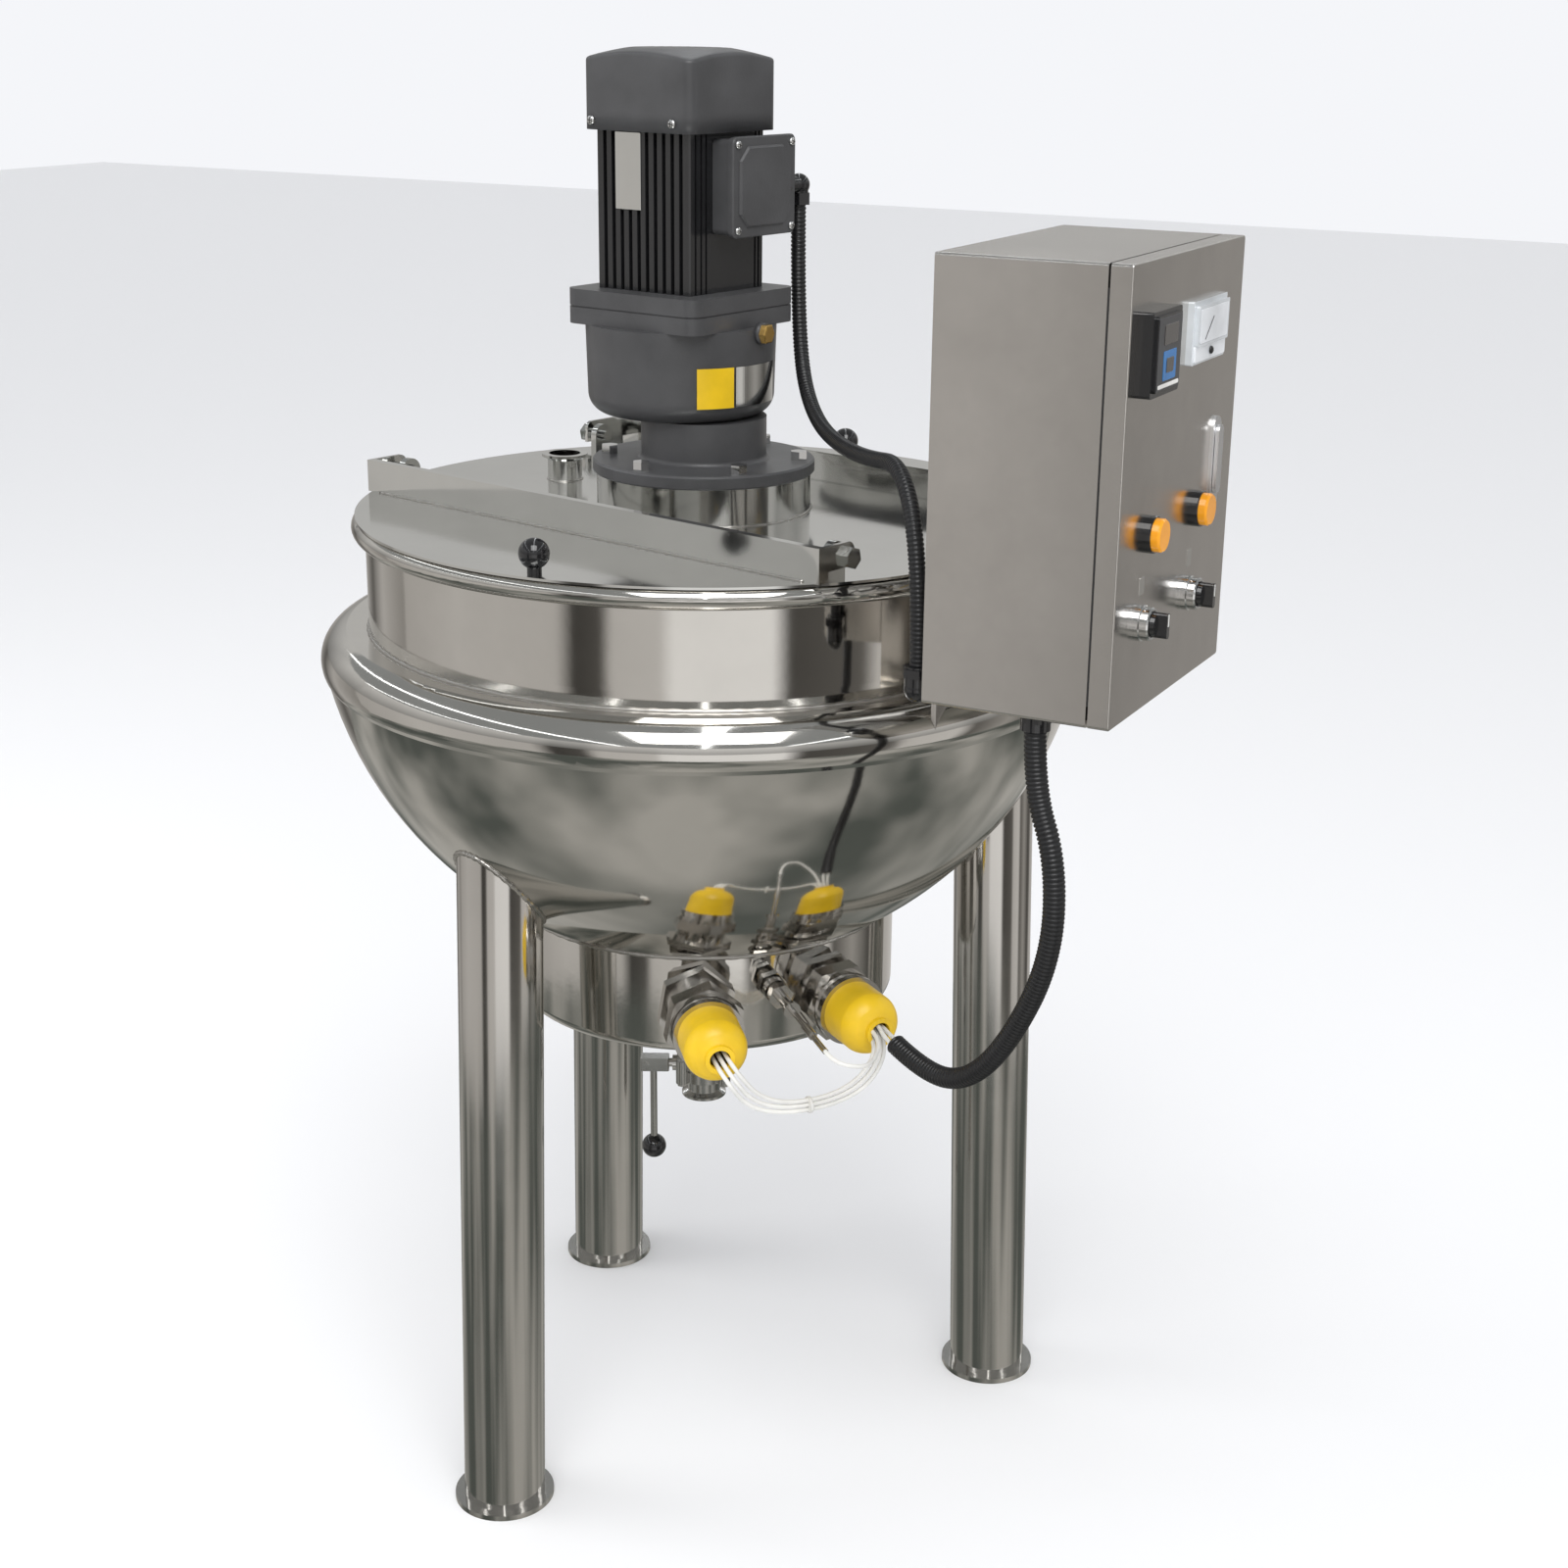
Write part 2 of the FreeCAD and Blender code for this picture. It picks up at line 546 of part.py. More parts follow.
body = cut(fuse(*disc_parts), cyl("outlet_r - outlet_wall", "60", (0, 0, vz - 40)))
node("valve_body", cut(body, cyl("5.4", "40", (sm.x, sm.y, vz), inlet)))
stem = cyl("5", "24", (sm.x, sm.y, vz), inlet)
across = V3(-RD.y, RD.x, 0)
flap = cyl("outlet_r - outlet_wall - 0.6", "2.4", tuple(across * -1.2 + V3(0, 0, vz)), tuple(across))
node("valve_stem", fuse(stem, flap))
LEVER = 40
lever = box("33", "16", "16", tuple(RD * LEVER - across * 8 + V3(0, 0, vz - 8)), 207.5)
hp = RD * (LEVER + 18)
grip = cyl("rod_r", "98", (hp.x, hp.y, vz - 6), (0, 0, -1))
tail = cyl("3", "20", tuple(RD * (LEVER + 26) + V3(0, 0, vz) - across * 10), tuple(across))
node("valve_handle", fuse(rounded(lever, 2, upright), grip, tail))
knob = cut(ball("ball_r", (hp.x, hp.y, vz - 106)), cyl("rod_r", "40", (hp.x, hp.y, vz - 104)))
node("handle_ball", knob)

# Control box with rounded edges, mounting plate and a thin hinge pin in the door gap
bx, by, bz = D["box_x"], D["box_y"], D["box_z"]
WALL = D["box_wall"]
EX = V3(1, 0, 0)
outer = rounded(box("box_d", "box_w", "box_h", (bx, by, bz)), 3, along(EX))
inner = box("box_d - 2 * box_wall", "box_w - 2 * box_wall", "box_h - 2 * box_wall",
            (bx + WALL, by + WALL, bz + WALL))
mouth = box("box_d", "box_w - 2 * box_lip", "box_h - 2 * box_lip",
            (bx + 20, by + D["box_lip"], bz + D["box_lip"]))
CABLE = (490, -262)
cable = cyl("conduit_r", "20", (CABLE[0], CABLE[1], bz - 10))
node("control_box", cut(cut(cut(outer, inner), mouth), cable))
plate = box("2", "box_w - 40", "box_h - 40", (bx + 12, by + 20, bz + 20))
studs = [plate]
for yy in (40, D["box_w"] - 40):
    for zz in (40, D["box_h"] - 40):
        studs.append(cyl("5", "11", (bx + WALL, by + yy, bz + zz), (1, 0, 0)))
node("mounting_plate", fuse(*studs))
gap_x = bx + D["box_d"]
PIN_IN = 0.6
leaf = box("0.8", "5.3", "box_h - 40", (gap_x, by + 0.3, bz + 20))
pin = cyl("door_gap / 2", "box_h - 40", (gap_x + D["door_gap"] / 2, by + PIN_IN, bz + 20))
node("hinge_pin", fuse(leaf, pin))

# Door with its seal, the instruments and their bodies behind it
dx = gap_x + D["door_gap"]
fx = dx + D["door_d"]
door = rounded(box("door_d", "box_w", "box_h", (dx, by, bz)), 3, along(EX))
door = rounded(door, 1.5, lambda e: min(v.Point.x for v in e.Vertexes) > fx - 0.01)
hollow = box("door_d - 1.5", "box_w - 30", "box_h - 30", (dx - 0.5, by + 15, bz + 15))
TOP_Z = bz + D["box_h"]
CTRL = (by + 16, TOP_Z - 112)
METER = (by + 145, TOP_Z - 101)
LAMPS = (("1", by + 73.0), ("2", by + 201.0))
DIALS = (("1", by + 61.0), ("2", by + 189.0))
LAMP_Z = bz + 162
DIAL_Z = bz + 85
windows = [hollow,
           box("40", "ctrl_w - 4", "ctrl_w - 4", (fx - 20, CTRL[0] + 2, CTRL[1] + 2)),
           box("40", "88", "meter_h - 10", (fx - 20, METER[0] + 2, METER[1] + 5))]
for tag, yy in LAMPS:
    windows.append(cyl("11.2", "40", (fx - 20, yy, LAMP_Z), (1, 0, 0)))
for tag, yy in DIALS:
    windows.append(cyl("11.2", "40", (fx - 20, yy, DIAL_Z), (1, 0, 0)))
node("control_door", cut(door, fuse(*windows)))
seal = box("door_gap - 0.3", "box_w - 12", "box_h - 12", (dx - D["door_gap"] + 0.3, by + 6, bz + 6))
node("door_gasket", cut(seal, box("door_gap", "box_w - 24", "box_h - 24",
                                  (dx - D["door_gap"] + 0.2, by + 12, bz + 12))))
bezel = rounded(box("14", "ctrl_w", "ctrl_w", (fx, CTRL[0], CTRL[1])), 3, along(EX))
face = box("4", "ctrl_w - 12", "ctrl_w - 8", (fx + 12.5, CTRL[0] + 6, CTRL[1] + 4))
rear = box("60", "ctrl_w - 4", "ctrl_w - 4", (fx - 60, CTRL[0] + 2, CTRL[1] + 2))
node("controller", fuse(bezel, rounded(face, 3, along(EX)), rear))
frame = rounded(box("6", "92", "meter_h", (fx, METER[0], METER[1])), 2, along(EX))
glass = box("5", "84", "meter_h - 20", (fx + 5, METER[0] + 4, METER[1] + 16))
rear = box("45", "88", "meter_h - 10", (fx - 45, METER[0] + 2, METER[1] + 5))
node("panel_meter", fuse(frame, rounded(glass, 2, along(EX)), rear))
for tag, yy in LAMPS:
    at = (fx, yy, LAMP_Z)
    node("pilot_lamp_" + tag, fuse(
        cyl("11", "40", (fx - 40, yy, LAMP_Z), (1, 0, 0)), cyl("lamp_r", "7", at, (1, 0, 0)),
        cyl("lamp_r - 1", "lamp_l - 2", at, (1, 0, 0)),
        cone("lamp_r - 1", "lamp_r - 2.5", "2", (fx + D["lamp_l"] - 2, yy, LAMP_Z), (1, 0, 0))))
rings = []
for tag, yy in DIALS:
    rings.append(cyl("11", "50", (fx - 40, yy, DIAL_Z), (1, 0, 0)))
    rings.append(cyl("lamp_r", "4", (fx, yy, DIAL_Z), (1, 0, 0)))
    rings.append(cone("lamp_r", "dial_r", "5", (fx + 4, yy, DIAL_Z), (1, 0, 0)))
    rings.append(cyl("dial_r", "10", (fx, yy, DIAL_Z), (1, 0, 0)))
    hub = cone("dial_r - 0.5", "dial_r - 2", "8", (fx + 10, yy, DIAL_Z), (1, 0, 0))
    bar = rounded(box("14", "7", "23", (fx + 14, yy - 3.5, DIAL_Z - 11.5)), 3, along(EX))
    node("selector_knob_" + tag, fuse(hub, bar))
node("selector_rings", fuse(*rings))
LATCH = (by + 233, bz + D["box_h"] / 2 - 49)
slip = rounded(box("3", "23", "90", (fx, LATCH[0], LATCH[1])), 11.3, along(EX))
node("latch_plate", slip)
handle = rounded(box("3.5", "14", "64", (fx + 3.5, LATCH[0] + 4.5, LATCH[1] + 18)), 6.8, along(EX))
node("latch_lever", fuse(handle, cyl("6", "1", (fx + 3, LATCH[0] + 11.5, LATCH[1] + 74), (1, 0, 0))))

# Bracket: a plate post and a flat post on the shoulder, tied by flats, that carry the box
core = turned("shoulder_core", [
    ("shell_r", "shoulder_z"), ("shell_r + 24", "shoulder_z + 1"), ("arc", "32", 1),
    ("shell_r + bulge_out", "shoulder_z - 43"), ("shell_r + bulge_out", "shoulder_z - 60"), ("0", "shoulder_z - 60"),
    ("0", "shoulder_z")])
POST_X, POST_Y = 355, -188
posts = [box("5", "40", "370", (POST_X, POST_Y, 900)), box("5", "40", "370", (bx - 5, -30, 900))]
for zz in (1000.0, 1220.0):
    posts.append(box("5", "212", "36", (bx - 5, -202, zz)))
    posts.append(box("32", "5", "36", (POST_X, POST_Y + 35, zz)))
posts = cut(fuse(*posts), core)
node("box_bracket", cut(posts, cyl("shell_r + 1", "200", (0, 0, 870))))

# Glands where the conduits leave the box
under = cut(fuse(hexagon("27", "6", (CABLE[0], CABLE[1], bz - 6)),
                 cyl("14", "14", (CABLE[0], CABLE[1], bz), (0, 0, -1))),
            cyl("conduit_r", "40", (CABLE[0], CABLE[1], bz + 10), (0, 0, -1)))
REAR = (372, -259, 976)
elbow = fuse(cyl("12.5", "22", REAR), hexagon("27", "8", (REAR[0], REAR[1], REAR[2] + 12)),
             ball("13", REAR), cyl("10", "15", REAR, (1, 0, 0)))
behind = cut(elbow, cyl("motor_tube_r", "20", (REAR[0], REAR[1], REAR[2] + 12)))
node("box_glands", fuse(under, behind))

# Anchor stirrer that follows the round bottom, on the drive shaft
ANCHOR = (0, -D["anchor_t"] / 2, D["bowl_cz"])
band = cut(cyl("anchor_r", "anchor_t", ANCHOR, (0, 1, 0)),
           cyl("anchor_r - anchor_w", "anchor_t", ANCHOR, (0, 1, 0)))
above = box("800", "100", "500", (-400, -50, D["bowl_cz"]))
arm = box("640", "anchor_t", "anchor_w", (-320, ANCHOR[1], D["bowl_cz"] - D["anchor_w"]))
shaft = cyl("shaft_r", "%g" % (FZ - 640), (0, 0, 640))
hub = cyl("shaft_r + 9", "60", (0, 0, D["bowl_cz"] - 49))
node("stirrer", fuse(cut(band, above), arm, shaft, hub))


def cord(name, pts, alias):
    """Tube along straight runs joined by tangent arcs."""
    r = D[alias]
    p = [V3(*q) for q in pts]
    edges = []
    here = p[0]
    print("cord", name, "d", 2 * r)
    for i in range(1, len(p) - 1):
        a = p[i - 1] - p[i]
        b = p[i + 1] - p[i]
        la, lb = a.Length, b.Length
        a.normalize()
        b.normalize()
        turn = math.pi - a.getAngle(b)
        if turn < 1e-4:
            continue
        rad = 0.495 * min(la, lb) / math.tan(turn / 2)
        trim = rad * math.tan(turn / 2)
        print("   bend", i, "turn", round(math.degrees(turn), 1), "radius", round(rad, 1),
              "in diameters", round(rad / (2 * r), 2), "runs", round(la, 1), round(lb, 1))
        s, e = p[i] + a * trim, p[i] + b * trim
        mid = p[i] + (a + b).normalize() * (rad / math.cos(turn / 2) - rad)
        edges.append(Part.LineSegment(here, s).toShape())
        edges.append(Part.Arc(s, mid, e).toShape())
        here = e
    edges.append(Part.LineSegment(here, p[-1]).toShape())
    wire = Part.Wire(edges)
    circle = Part.Wire([Part.Circle(p[0], p[1] - p[0], r).toShape()])
    solid = wire.makePipeShell([circle], True, False)
    want = math.pi * r * r * wire.Length
    print("   length", round(wire.Length, 1), "volume ratio", round(solid.Volume / want, 4))
    o = doc.addObject("Part::Feature", name)
    o.Shape = solid
    return node(name, o)


# Corrugated conduits to the motor and to the heaters
cord("motor_conduit", [
    (ge.x, ge.y, GLAND_Z - 20), (ge.x, ge.y, 1238), (106, 38, 1158), (215, -84, 1146),
    (REAR[0], REAR[1], 1181), (REAR[0], REAR[1], REAR[2] + 12)], "motor_tube_r")


def in_plane(s, z):
    """Point in the upright plane in which the heater conduit hangs."""
    return (CABLE[0] - 0.9121 * s, CABLE[1] + 0.4099 * s, z)


MOUTH = V3(326, -184.5, 580)
PULL = V3(*in_plane(130, 568)) - MOUTH
cord("heater_conduit", [
    in_plane(0, bz), in_plane(0, 905), in_plane(-35, 838), in_plane(-34, 742),
    in_plane(18, 640), in_plane(72, 582), in_plane(130, 568), tuple(MOUTH)], "conduit_r")

# Glass-sleeved leads, each from a terminal post through the hole of its cap


def in_hole(tag, d, right, up):
    """Point at depth d outside the cap hole, beside and above its centre."""
    face, way = HOLE[tag]
    side = V3(-way.y, way.x, 0)
    p = face + way * d + side * right + V3(0, 0, up)
    return (p.x, p.y, p.z)


# Leads from one terminal cap to the other, then down to the heaters and the sensor
IN = -D["post_gap"]
OUT = 17
LANES = (
    ("1", (-5.3, -3.7), (5.9, -2.7), (221, -281, 514), (292, -191, 513)),
    ("2", (0, 0), (1, -1), (224, -276, 519), (288, -195, 518)),
    ("3", (5.3, 3.7), (-5.6, -3.3), (228, -271, 524), (283, -200, 523)))
for tag, first, last, near_1, near_2 in LANES:
    cord("cap_lead_" + tag, [
        in_hole("1", IN, *first), in_hole("1", OUT, *first), near_1, near_2,
        in_hole("2", OUT, *last), in_hole("2", IN, *last)], "lead_r")
side = V3(-PULL.y, PULL.x, 0).normalize() * 4
way = V3(PULL.x, PULL.y, PULL.z).normalize()
for tag, sign, lane in (("1", 1, (5.6, 3.3)), ("2", -1, (0.4, 6.6))):
    tip = MOUTH + side * sign
    before = tip - way * 14
    cord("heater_lead_" + tag, [
        in_hole("2", IN, *lane), in_hole("2", -8, *lane), tuple(before), tuple(tip)], "lead_r")
cord("sensor_lead", [
    probe_at(169), probe_at(186), (313.5, -266, 586), (329, -244, 581),
    in_hole("2", OUT - 3, -6, 2.8), in_hole("2", IN, -6, 2.8)], "lead_r")

doc.recompute()
bad = []
for name, obj in NODES.items():
    state = [s for s in obj.State if s in ("Invalid", "Error")]
    shape = obj.Shape
    if state or shape.isNull() or not shape.isValid():
        bad.append((name, state, shape.isNull()))
for obj in doc.Objects:
    if any(s in ("Invalid", "Error") for s in obj.State):
        bad.append((obj.Name, obj.State))
if bad:
    raise RuntimeError("bad pieces: %s" % bad)
for name, obj in NODES.items():
    obj.Shape.exportStep("parts/%s.step" % name)
    bb = obj.Shape.BoundBox
    print("%-18s solids %d volume %10.0f  z %.1f..%.1f" % (
        name, len(obj.Shape.Solids), obj.Shape.Volume, bb.ZMin, bb.ZMax))
print("nodes", len(NODES))
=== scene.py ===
"""Looks of the jacketed kettle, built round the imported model. Metres, +Z up, origin on the floor."""
import json
import math

import bpy
from mathutils import Matrix, Vector


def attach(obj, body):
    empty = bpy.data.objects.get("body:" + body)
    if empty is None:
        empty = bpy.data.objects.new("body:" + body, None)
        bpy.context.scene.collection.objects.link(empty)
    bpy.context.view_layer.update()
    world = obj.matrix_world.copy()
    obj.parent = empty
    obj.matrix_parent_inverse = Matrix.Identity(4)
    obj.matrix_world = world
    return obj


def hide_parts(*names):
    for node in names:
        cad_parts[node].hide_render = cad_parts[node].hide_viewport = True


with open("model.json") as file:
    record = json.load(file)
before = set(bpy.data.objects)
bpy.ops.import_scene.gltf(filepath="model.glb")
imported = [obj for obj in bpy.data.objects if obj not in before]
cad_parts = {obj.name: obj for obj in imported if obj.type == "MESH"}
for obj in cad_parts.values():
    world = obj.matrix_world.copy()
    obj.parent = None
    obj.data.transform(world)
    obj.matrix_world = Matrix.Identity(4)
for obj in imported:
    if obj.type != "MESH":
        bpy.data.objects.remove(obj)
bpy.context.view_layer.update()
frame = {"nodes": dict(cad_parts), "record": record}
NODES = frame["nodes"]
SCENE = bpy.context.scene


def material(name, color, rough, metal=0.0):
    """New node material. Returns it with its tree and its principled shader."""
    mat = bpy.data.materials.new(name)
    mat.use_nodes = True
    tree = mat.node_tree
    shader = tree.nodes["Principled BSDF"]
    shader.inputs["Base Color"].default_value = (*color, 1)
    shader.inputs["Roughness"].default_value = rough
    shader.inputs["Metallic"].default_value = metal
    return mat, tree, shader


def add(tree, kind, **values):
    """Adds a node. Values are set on its inputs by name, or on the node itself."""
    node = tree.nodes.new(kind)
    for key, value in values.items():
        label = key.replace("_", " ")
        if label in node.inputs:
            node.inputs[label].default_value = value
        else:
            setattr(node, key, value)
    return node


def object_noise(tree, scale, stretch=(1, 1, 1), detail=3.0, rough=0.5):
    """Noise in object space, stretched along the axes where a brush or a roller ran."""
    place = add(tree, "ShaderNodeTexCoord")
    mapping = add(tree, "ShaderNodeMapping")
    mapping.inputs["Scale"].default_value = stretch
    noise = add(tree, "ShaderNodeTexNoise", Scale=scale, Detail=detail, Roughness=rough)
    tree.links.new(place.outputs["Object"], mapping.inputs["Vector"])
    tree.links.new(mapping.outputs["Vector"], noise.inputs["Vector"])
    return noise


def ramp(tree, source, low, high, at=(0.3, 0.7)):
    """Colour ramp between two colours, driven by a value."""
    node = add(tree, "ShaderNodeValToRGB")
    node.color_ramp.elements[0].position = at[0]
    node.color_ramp.elements[0].color = (*low, 1)
    node.color_ramp.elements[1].position = at[1]
    node.color_ramp.elements[1].color = (*high, 1)
    tree.links.new(source, node.inputs["Fac"])
    return node.outputs["Color"]


def span(tree, source, low, high):
    """Maps a value from 0..1 to low..high."""
    node = add(tree, "ShaderNodeMapRange")
    node.inputs["To Min"].default_value = low
    node.inputs["To Max"].default_value = high
    tree.links.new(source, node.inputs["Value"])
    return node.outputs["Result"]


def bump(tree, shader, source, strength, distance, base=None):
    """Bump from a height value. Returns the node so that another can be stacked on it."""
    node = add(tree, "ShaderNodeBump", Strength=strength, Distance=distance)
    tree.links.new(source, node.inputs["Height"])
    if base:
        tree.links.new(base.outputs["Normal"], node.inputs["Normal"])
    tree.links.new(node.outputs["Normal"], shader.inputs["Normal"])
    return node


def polished_steel(name, color, rough, wave=0.15, grain=(1, 1, 1), grain_scale=60.0):
    """Polished stainless steel: slow waviness of the sheet, faint grain and smudges."""
    mat, tree, shader = material(name, color, rough, 1.0)
    slow = object_noise(tree, 3.0, detail=1.0)
    first = bump(tree, shader, slow.outputs["Fac"], wave, 0.02)
    fine = object_noise(tree, grain_scale, grain, detail=4.0)
    bump(tree, shader, fine.outputs["Fac"], 0.03, 0.001, first)
    smudge = object_noise(tree, 7.0, detail=5.0, rough=0.6)
    gloss = span(tree, smudge.outputs["Fac"], rough * 0.5, rough * 1.7)
    tree.links.new(gloss, shader.inputs["Roughness"])
    dark = tuple(c * 0.9 for c in color)
    tree.links.new(ramp(tree, smudge.outputs["Fac"], dark, color), shader.inputs["Base Color"])
    return mat


def brushed_steel(name, color, rough, stretch):
    """Dull stainless sheet: soft mottling and faint lines along one direction."""
    mat, tree, shader = material(name, color, rough, 1.0)
    lines = object_noise(tree, 60.0, stretch, detail=4.0, rough=0.6)
    bump(tree, shader, lines.outputs["Fac"], 0.04, 0.001)
    cloud = object_noise(tree, 9.0, detail=5.0, rough=0.65)
    tree.links.new(span(tree, cloud.outputs["Fac"], rough * 0.8, rough * 1.2), shader.inputs["Roughness"])
    dark = tuple(c * 0.86 for c in color)
    tree.links.new(ramp(tree, cloud.outputs["Fac"], dark, color), shader.inputs["Base Color"])
    return mat


def paint(name, color, rough, grain=0.2, coat=0.0):
    """Machine paint or moulded plastic with a slight orange peel and uneven gloss."""
    mat, tree, shader = material(name, color, rough)
    shader.inputs["Coat Weight"].default_value = coat
    peel = object_noise(tree, 350.0, detail=2.0)
    bump(tree, shader, peel.outputs["Fac"], grain, 0.0006)
    blotch = object_noise(tree, 16.0, detail=4.0)
    low = tuple(c * 0.82 for c in color)
    high = tuple(min(c * 1.15, 1.0) for c in color)
    tree.links.new(ramp(tree, blotch.outputs["Fac"], low, high), shader.inputs["Base Color"])
    gloss = span(tree, blotch.outputs["Fac"], rough * 0.8, rough * 1.25)
    tree.links.new(gloss, shader.inputs["Roughness"])
    return mat


MAT = {
    "kettle_steel": polished_steel("kettle_steel", (0.70, 0.68, 0.645), 0.07),
    "lid_steel": polished_steel("lid_steel", (0.72, 0.72, 0.70), 0.09, 0.08),
    "leg_steel": polished_steel("leg_steel", (0.66, 0.64, 0.61), 0.10, 0.05, (1, 1, 0.05)),
    "drive_paint": paint("drive_paint", (0.062, 0.062, 0.064), 0.38),
    "black_plastic": paint("black_plastic", (0.008, 0.008, 0.009), 0.12, 0.05, 0.5),
    "heater_steel": polished_steel("heater_steel", (0.60, 0.58, 0.55), 0.14, 0.02),
    "yellow_plastic": paint("yellow_plastic", (0.82, 0.53, 0.012), 0.36, 0.15),
    "valve_steel": polished_steel("valve_steel", (0.62, 0.61, 0.59), 0.12, 0.02),
    "clear_plastic": paint("clear_plastic", (0.62, 0.65, 0.67), 0.10, 0.0, 1.0),
    "motor_paint": paint("motor_paint", (0.012, 0.012, 0.013), 0.22, 0.15, 0.4),
    "box_steel": brushed_steel("box_steel", (0.70, 0.675, 0.645), 0.22, (1, 1, 8)),
    "chrome_trim": polished_steel("chrome_trim", (0.75, 0.75, 0.75), 0.06, 0.0),
    "lamp_amber": paint("lamp_amber", (0.9, 0.35, 0.01), 0.2, 0.02, 0.5),
    "gasket_rubber": paint("gasket_rubber", (0.015, 0.015, 0.015), 0.7),
    "conduit_black": paint("conduit_black", (0.012, 0.012, 0.013), 0.32),
    "lead_white": paint("lead_white", (0.75, 0.74, 0.70), 0.5),
    "brass": polished_steel("brass", (0.78, 0.50, 0.16), 0.18, 0.0),
    "smoke_glass": paint("smoke_glass", (0.03, 0.026, 0.024), 0.06, 0.0, 1.0),
    "blue_film": paint("blue_film", (0.02, 0.16, 0.42), 0.25, 0.02, 0.4),
    "dial_white": paint("dial_white", (0.78, 0.80, 0.82), 0.3, 0.0, 0.8),
    "latch_chrome": polished_steel("latch_chrome", (0.95, 0.95, 0.96), 0.38, 0.0),
    "weld": polished_steel("weld", (0.55, 0.53, 0.50), 0.28, 0.3, (1, 1, 1), 180.0),
}
SLOTS = {part["node"]: part["material_slot"] for part in frame["record"]["subparts"]}
for node_name, node_object in NODES.items():
    node_object.data.materials.clear()
    node_object.data.materials.append(MAT[SLOTS[node_name]])

for node_name in ("latch_plate", "latch_lever"):
    NODES[node_name].data.materials[0] = MAT["latch_chrome"]


# Free cords, each on one smooth line through the route of its tube
ROUTES = {
    "motor_conduit": [
        (0.05922, 0.09614, 1.368), (0.05922, 0.09614, 1.238), (0.106, 0.038, 1.158),
        (0.215, -0.084, 1.146), (0.372, -0.259, 1.181), (0.372, -0.259, 0.988)],
    "heater_conduit": [
        (0.49, -0.262, 0.9704), (0.49, -0.262, 0.905), (0.52192, -0.27635, 0.838),
        (0.52101, -0.27594, 0.742), (0.47358, -0.25462, 0.64), (0.42433, -0.23249, 0.582),
        (0.37143, -0.20871, 0.568), (0.326, -0.1845, 0.58)],
    "cap_lead_1": [
        (0.16369, -0.27706, 0.5743), (0.19647, -0.31613, 0.5743), (0.221, -0.281, 0.514),
        (0.292, -0.191, 0.513), (0.31651, -0.16802, 0.5753), (0.27473, -0.13877, 0.5753)],
    "cap_lead_2": [
        (0.16775, -0.27365, 0.578), (0.20053, -0.31272, 0.578), (0.224, -0.276, 0.519),
        (0.288, -0.195, 0.518), (0.3137, -0.17203, 0.577), (0.27192, -0.14278, 0.577)],
    "cap_lead_3": [
        (0.17181, -0.27025, 0.5817), (0.20459, -0.30932, 0.5817), (0.228, -0.271, 0.524),
        (0.283, -0.2, 0.523), (0.30991, -0.17744, 0.5747), (0.26814, -0.14819, 0.5747)],
    "heater_lead_1": [
        (0.27456, -0.13901, 0.5813), (0.29586, -0.15392, 0.5813), (0.31585, -0.17456, 0.58318),
        (0.32788, -0.18097, 0.58)],
    "heater_lead_2": [
        (0.27158, -0.14327, 0.5846), (0.29288, -0.15818, 0.5846), (0.31209, -0.18162, 0.58318),
        (0.32412, -0.18803, 0.58)],
    "sensor_lead": [
        (0.28271, -0.25455, 0.59033), (0.29533, -0.26592, 0.58956), (0.3135, -0.266, 0.586),
        (0.329, -0.244, 0.581), (0.30723, -0.17604, 0.5808), (0.26791, -0.14851, 0.5808)],
}
CONDUIT_R = {"motor_conduit": 0.008, "heater_conduit": 0.0105}
LEAD_R = 0.0022


def link(obj, look, body="kettle"):
    """Puts a new piece in the scene with the material of its look, and attaches it to a body."""
    SCENE.collection.objects.link(obj)
    obj.data.materials.append(MAT[look])
    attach(obj, body)
    return obj


def line_curve(name, points):
    """NURBS line whose control points are the points of a route."""
    data = bpy.data.curves.new(name, "CURVE")
    data.dimensions = "3D"
    data.resolution_u = 16
    spline = data.splines.new("NURBS")
    spline.points.add(len(points) - 1)
    for target, point in zip(spline.points, points):
        target.co = (*point, 1.0)
    spline.order_u = 3
    spline.use_endpoint_u = True
    return bpy.data.objects.new(name, data)


def line_points(curve):
    """Points along a curve that has no bevel."""
    mesh = bpy.data.meshes.new_from_object(curve)
    points = [v.co.copy() for v in mesh.vertices]
    bpy.data.meshes.remove(mesh)
    return points


def resample(points, step):
    """Points at an even step along a line."""
    out = [points[0].copy()]
    left = step
    for a, b in zip(points, points[1:]):
        span_left = (b - a).length
        here = a.copy()
        while span_left >= left:
            here = here + (b - here).normalized() * left
            out.append(here.copy())
            span_left -= left
            left = step
        left -= span_left
    out.append(points[-1].copy())
    return out


def solid(name, verts, faces, smooth=False):
    """New object from points and faces. Where it is smooth, its end faces stay flat."""
    mesh = bpy.data.meshes.new(name)
    mesh.from_pydata(verts, [], faces)
    if smooth:
        for face in mesh.polygons:
            face.use_smooth = len(face.vertices) == 4
    return bpy.data.objects.new(name, mesh)


def bands(rows, n):
    """Faces between each row of n points and the next."""
    return [(i * n + k, i * n + (k + 1) % n, (i + 1) * n + (k + 1) % n, (i + 1) * n + k)
            for i in range(rows - 1) for k in range(n)]


def caps(rows, n):
    """Faces that close the first and the last of the rows."""
    return [tuple(reversed(range(n))), tuple((rows - 1) * n + k for k in range(n))]


